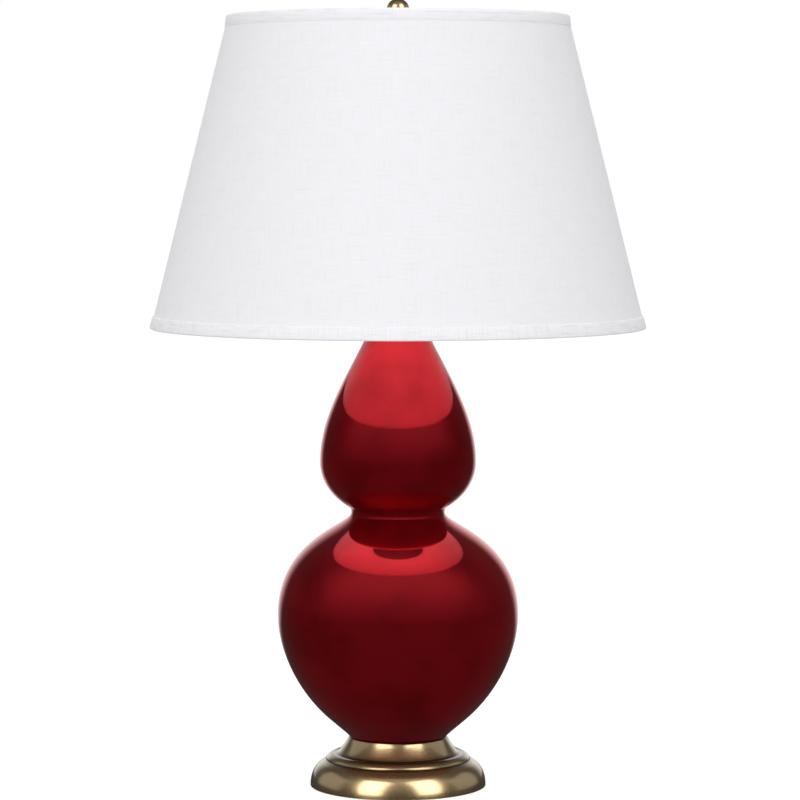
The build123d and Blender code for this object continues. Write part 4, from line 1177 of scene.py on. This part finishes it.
@dataclass
class ThreadedHardware:
    """Screw threads that the CAD leaves plain: the finial's stud and the bulb's metal cap."""

    stud_crest: float = 3.1 * MM
    stud_root: float = 2.55 * MM
    stud_pitch: float = 0.94 * MM
    stud_flange: float = 5.0 * MM
    stud_head: Point = (3.4 * MM, 1.2 * MM)
    stud_shank: float = 2.0 * MM
    stud_length: float = 11.0 * MM
    pad: float = 4.2 * MM
    flange: float = 2.0 * MM
    cap_root: float = 12.65 * MM
    cap_pitch: float = 3.63 * MM
    cap_inside: float = 12.25 * MM
    cap_mouth: float = 11.1 * MM
    cap_wall: float = 0.4 * MM
    cap_edge: float = 0.5 * MM
    cap_thread: float = 14.6 * MM
    hole_share: float = 0.25
    lead: float = 0.6 * MM
    run_out: float = 0.2 * MM

    def build(self, wheel: Wheel, roller: ThreadRoller,
              finisher: Finisher) -> list[bpy.types.Object]:
        """Makes the stud and the cap with real helical threads.

        Args:
            wheel: Turns the cores.
            roller: Rolls the threads.
            finisher: Gives the metals.

        Returns:
            The cores and their threads.
        """
        brass = finisher.give("plated_hardware")
        low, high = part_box("harp_stud")
        seat = high[2] - self.stud_length
        under = seat - self.flange - self.pad
        hole, lead = self.hole_share * self.stud_root, self.lead
        core = [(hole, low[2]), (self.stud_head[0], low[2]), (self.stud_head[0], under),
                (self.stud_shank, under), (self.stud_shank, seat - self.flange),
                (self.stud_flange, seat - self.flange), (self.stud_flange, seat),
                (self.stud_root, seat), (self.stud_root, high[2] - lead),
                (self.stud_root - lead, high[2]), (hole, high[2])]
        stud = wheel.turn("stud_core", core, 64, brass)
        thread = roller.roll("stud_thread", self.stud_root, self.stud_crest, seat + self.run_out,
                             high[2] - lead, self.stud_pitch, brass)
        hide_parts("harp_stud")
        metal = finisher.give("cap_aluminium")
        low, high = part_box("bulb_cap")
        bottom, top = low[2], high[2]
        can = [(self.cap_root, bottom + self.cap_edge), (self.cap_root, top),
               (self.cap_inside, top), (self.cap_inside, bottom + self.cap_wall),
               (self.cap_mouth, bottom + self.cap_wall),
               (self.cap_mouth, bottom), (self.cap_root - self.cap_edge, bottom)]
        cap = wheel.turn("bulb_cap_can", can, 96, metal)
        ridge = roller.roll("bulb_cap_thread", self.cap_root, high[0], bottom + lead,
                            bottom + self.cap_thread, self.cap_pitch, metal)
        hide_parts("bulb_cap")
        for piece, body, slot in ((stud, "harp_stud", "plated_hardware"),
                                  (thread, "harp_stud", "plated_hardware"),
                                  (cap, "bulb", "cap_aluminium"), (ridge, "bulb", "cap_aluminium")):
            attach(piece, body)
        return [stud, thread, cap, ridge]


# ---- Studio --------------------------------------------------------------------------------------
@dataclass
class PhotoCamera:
    """Camera at the photograph's place."""

    place: tuple[float, float, float] = (0.0020, -3.3314, 0.6296)
    down: float = 0.0722
    lens: float = 150.19
    sensor: float = 36.0

    def build(self) -> bpy.types.Object:
        """Sets up the camera, level and looking slightly down.

        Returns:
            The camera.
        """
        data = bpy.data.cameras.new("photo_camera")
        data.lens = self.lens
        data.sensor_width = self.sensor
        camera = bpy.data.objects.new("photo_camera", data)
        camera.location = self.place
        camera.rotation_euler = (math.pi / 2 - self.down, 0.0, 0.0)
        bpy.context.scene.collection.objects.link(camera)
        bpy.context.scene.camera = camera
        return camera


@dataclass(frozen=True)
class SoftLight:
    """Rectangular light: degrees to the right and up, metres away, size, watts, height aimed at."""

    name: str
    turn: float
    lift: float
    away: float
    size: Point
    power: float
    aim: float = 0.5
    brass_only: bool = False

    def hang(self, brass: bpy.types.Collection) -> bpy.types.Object:
        """Hangs the light, unseen in any mirror unless it is for the brass alone.

        Args:
            brass: Pieces that a light for the brass shines on.

        Returns:
            The light.
        """
        data = bpy.data.lights.new(self.name, "AREA")
        data.shape = "RECTANGLE"
        data.size, data.size_y = self.size
        data.energy = self.power
        light = bpy.data.objects.new(self.name, data)
        turn, lift = math.radians(self.turn), math.radians(self.lift)
        flat = self.away * math.cos(lift)
        light.location = (flat * math.sin(turn), -flat * math.cos(turn),
                          self.aim + self.away * math.sin(lift))
        facing = Vector((0.0, 0.0, self.aim)) - Vector(light.location)
        light.rotation_euler = facing.to_track_quat("-Z", "Y").to_euler()
        bpy.context.scene.collection.objects.link(light)
        light.visible_glossy = self.brass_only
        if self.brass_only:
            light.light_linking.receiver_collection = brass
        return light


LIGHTS = (
    SoftLight("key_front", -3.0, 18.0, 4.0, (3.0, 2.2), 42.0),
    SoftLight("key_top", 0.0, 72.0, 3.2, (3.0, 3.0), 10.0),
    SoftLight("rear_fill", 180.0, 42.0, 4.0, (3.2, 2.4), 20.0),
    SoftLight("softbox_left", -37.0, 26.0, 3.0, (1.8, 3.4), 84.0, 0.1, True),
    SoftLight("softbox_right", 42.0, 29.0, 3.0, (1.8, 3.4), 80.0, 0.1, True),
    SoftLight("side_left", -105.0, 15.0, 3.0, (2.6, 2.6), 9.0, 0.1, True),
    SoftLight("side_right", 105.0, 15.0, 3.0, (2.6, 2.6), 9.0, 0.1, True),
)
# The photographed glaze mirrors the pale floor and no foot, so these stay out of its mirror.
UNMIRRORED = ("foot_skirt", "foot_cup", "bottom_board", "felt_pad")


@dataclass
class Studio:
    """White background, pale floor and soft light."""

    sky: float = 0.76
    rear_start: float = 0.77
    rear_full: float = 0.99
    dim_low: float = 0.045
    dim_high: float = 0.32
    dim_rise: Point = (-0.2, 0.9)
    front_span: Point = (-0.45, 0.25)
    behind_share: float = 0.1
    floor_half: float = 30.0
    floor_near: Point = (0.35, 1.2)
    floor_colour: str = "cfcfcf"
    floor_glow: float = 0.62
    glow_height: float = 0.62
    glow_power: float = 1.75
    glow_radius: float = 0.06

    def world(self) -> None:
        """Lights the lamp evenly, with white only behind it for what mirrors and looks through."""
        world = bpy.data.worlds.new("studio")
        world.use_nodes = True
        tree = world.node_tree
        tree.nodes.clear()
        way = put(tree, SPLIT, {0: put(tree, "ShaderNodeTexCoord").outputs["Generated"]})
        rear = put(tree, RANGE, {0: way.outputs[1], 1: self.rear_start, 2: self.rear_full, 3: 0.0,
                                 4: 1.0}, interpolation_type="SMOOTHSTEP")
        high = put(tree, RANGE, {0: way.outputs[2], 1: self.dim_rise[0], 2: self.dim_rise[1],
                                 3: 0.0, 4: 1.0}, interpolation_type="SMOOTHSTEP")
        front = put(tree, RANGE, {0: way.outputs[1], 1: self.front_span[0], 2: self.front_span[1],
                                  3: 1.0, 4: self.behind_share}, interpolation_type="SMOOTHSTEP")
        open_side = put(tree, MATH, {0: high, 1: front}, operation="MULTIPLY")
        dim = put(tree, MIX, {0: open_side, 2: self.dim_low, 3: self.dim_high}, data_type="FLOAT")
        mirrored = put(tree, MIX, {0: rear, 2: dim, 3: 1.0}, data_type="FLOAT")
        path = put(tree, "ShaderNodeLightPath")
        seen = put(tree, MATH, {0: path.outputs["Is Camera Ray"],
                                1: path.outputs["Is Transmission Ray"]}, operation="MAXIMUM")
        light = put(tree, MIX, {0: path.outputs["Is Glossy Ray"], 2: self.sky, 3: mirrored},
                    data_type="FLOAT")
        strength = put(tree, MIX, {0: seen, 2: light, 3: 1.0}, data_type="FLOAT")
        shade = put(tree, "ShaderNodeBackground", {"Color": paint("ffffff"), "Strength": strength})
        put(tree, "ShaderNodeOutputWorld", {"Surface": shade})
        bpy.context.scene.world = world

    def floor(self) -> bpy.types.Object:
        """Lays the pale floor, which keeps the lamp's shadow.

        Returns:
            The floor.
        """
        half = self.floor_half
        mesh = bpy.data.meshes.new("floor")
        mesh.from_pydata([(-half, -half, 0), (half, -half, 0), (half, half, 0), (-half, half, 0)],
                         [], [(0, 1, 2, 3)])
        floor = bpy.data.objects.new("floor", mesh)
        bpy.context.scene.collection.objects.link(floor)
        made = bpy.data.materials.new("pale_studio_floor")
        made.use_nodes = True
        tree = made.node_tree
        tree.nodes.clear()
        path = put(tree, "ShaderNodeLightPath")
        place = put(tree, "ShaderNodeTexCoord").outputs["Object"]
        way = put(tree, VECTOR, {0: place}, operation="NORMALIZE").outputs[0]
        toward = put(tree, RANGE, {0: put(tree, SPLIT, {0: way}).outputs[1], 1: self.rear_start,
                                   2: self.rear_full, 3: 0.0, 4: 1.0},
                     interpolation_type="SMOOTHSTEP")
        away = put(tree, RANGE, {0: put(tree, SPLIT, {0: place}).outputs[1], 1: self.floor_near[0],
                                 2: self.floor_near[1], 3: 0.0, 4: 1.0},
                   interpolation_type="SMOOTHSTEP")
        share = put(tree, MATH, {0: toward, 1: away}, operation="MULTIPLY")
        rear = put(tree, MIX, {0: share, 2: self.dim_low, 3: 1.0}, data_type="FLOAT")
        lit = put(tree, "ShaderNodeBsdfDiffuse", {"Color": paint(self.floor_colour)})
        glow = put(tree, "ShaderNodeEmission",
                   {"Strength": put(tree, MATH, {0: path.outputs["Is Camera Ray"],
                                                 1: self.floor_glow}, operation="MULTIPLY")})
        plain = put(tree, "ShaderNodeAddShader", {0: lit, 1: glow})
        mirrored = put(tree, "ShaderNodeEmission", {"Strength": rear})
        both = put(tree, "ShaderNodeMixShader", {0: path.outputs["Is Glossy Ray"], 1: plain,
                                                 2: mirrored})
        put(tree, "ShaderNodeOutputMaterial", {"Surface": both})
        mesh.materials.append(made)
        return floor

    def build(self, brass: bpy.types.Collection, liner: bpy.types.Collection) -> None:
        """Sets the whole studio, in which the glaze mirrors the floor but not the foot.

        Args:
            brass: Pieces that the softboxes show in.
            liner: The shade's lining, which light through the cloth brightens.
        """
        self.world()
        self.floor()
        for light in LIGHTS:
            light.hang(brass)
        self.glow(liner)
        for name in UNMIRRORED:
            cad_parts[name].visible_glossy = False

    def glow(self, liner: bpy.types.Collection) -> None:
        """Stands for the studio light that comes through the cloth into the shade.

        Args:
            liner: The only pieces that it lights.
        """
        data = bpy.data.lights.new("through_cloth", "POINT")
        data.shadow_soft_size = self.glow_radius
        data.energy = self.glow_power
        light = bpy.data.objects.new("through_cloth", data)
        light.location = (0.0, 0.0, self.glow_height)
        bpy.context.scene.collection.objects.link(light)
        light.visible_glossy = False
        light.light_linking.receiver_collection = liner


def dress_frame(finisher: Finisher) -> bpy.types.Collection:
    """Gives every carried-over CAD piece its finish.

    Args:
        finisher: Gives the materials.

    Returns:
        The bright metal pieces, which the softboxes light.
    """
    bright = bpy.data.collections.new("bright_metal")
    metals = {slot for slot, finish in finisher.finishes.items() if isinstance(finish, Metal)}
    for name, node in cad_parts.items():
        slots = {holder.material.name.split(".")[0] for holder in node.material_slots}
        finisher.dress_cad(node)
        if slots & metals:
            bright.objects.link(node)
        log.info("dressed %s as %s", name, ", ".join(sorted(slots)))
    return bright


def main() -> None:
    """Builds the lamp's looks, its studio and its camera."""
    logging.basicConfig(level=logging.INFO, format="%(name)s %(message)s")
    PhotoCamera().build()
    finisher = Finisher()
    bright = dress_frame(finisher)
    wheel = Wheel()
    roller = ThreadRoller()
    pieces = [GourdBody().build(wheel, finisher)]
    pieces += HardbackShade().build(wheel, finisher)
    pieces += ThreadedHardware().build(wheel, roller, finisher)
    for piece in pieces:
        log.info("made %s with %d faces", piece.name, len(piece.data.polygons))
    bpy.context.scene.view_settings.view_transform = "Standard"
    lining = bpy.data.collections.new("lining")
    lining.objects.link(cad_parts["shade_liner"])
    Studio().build(bright, lining)
    bpy.context.view_layer.update()


if __name__ == "__main__":
    main()
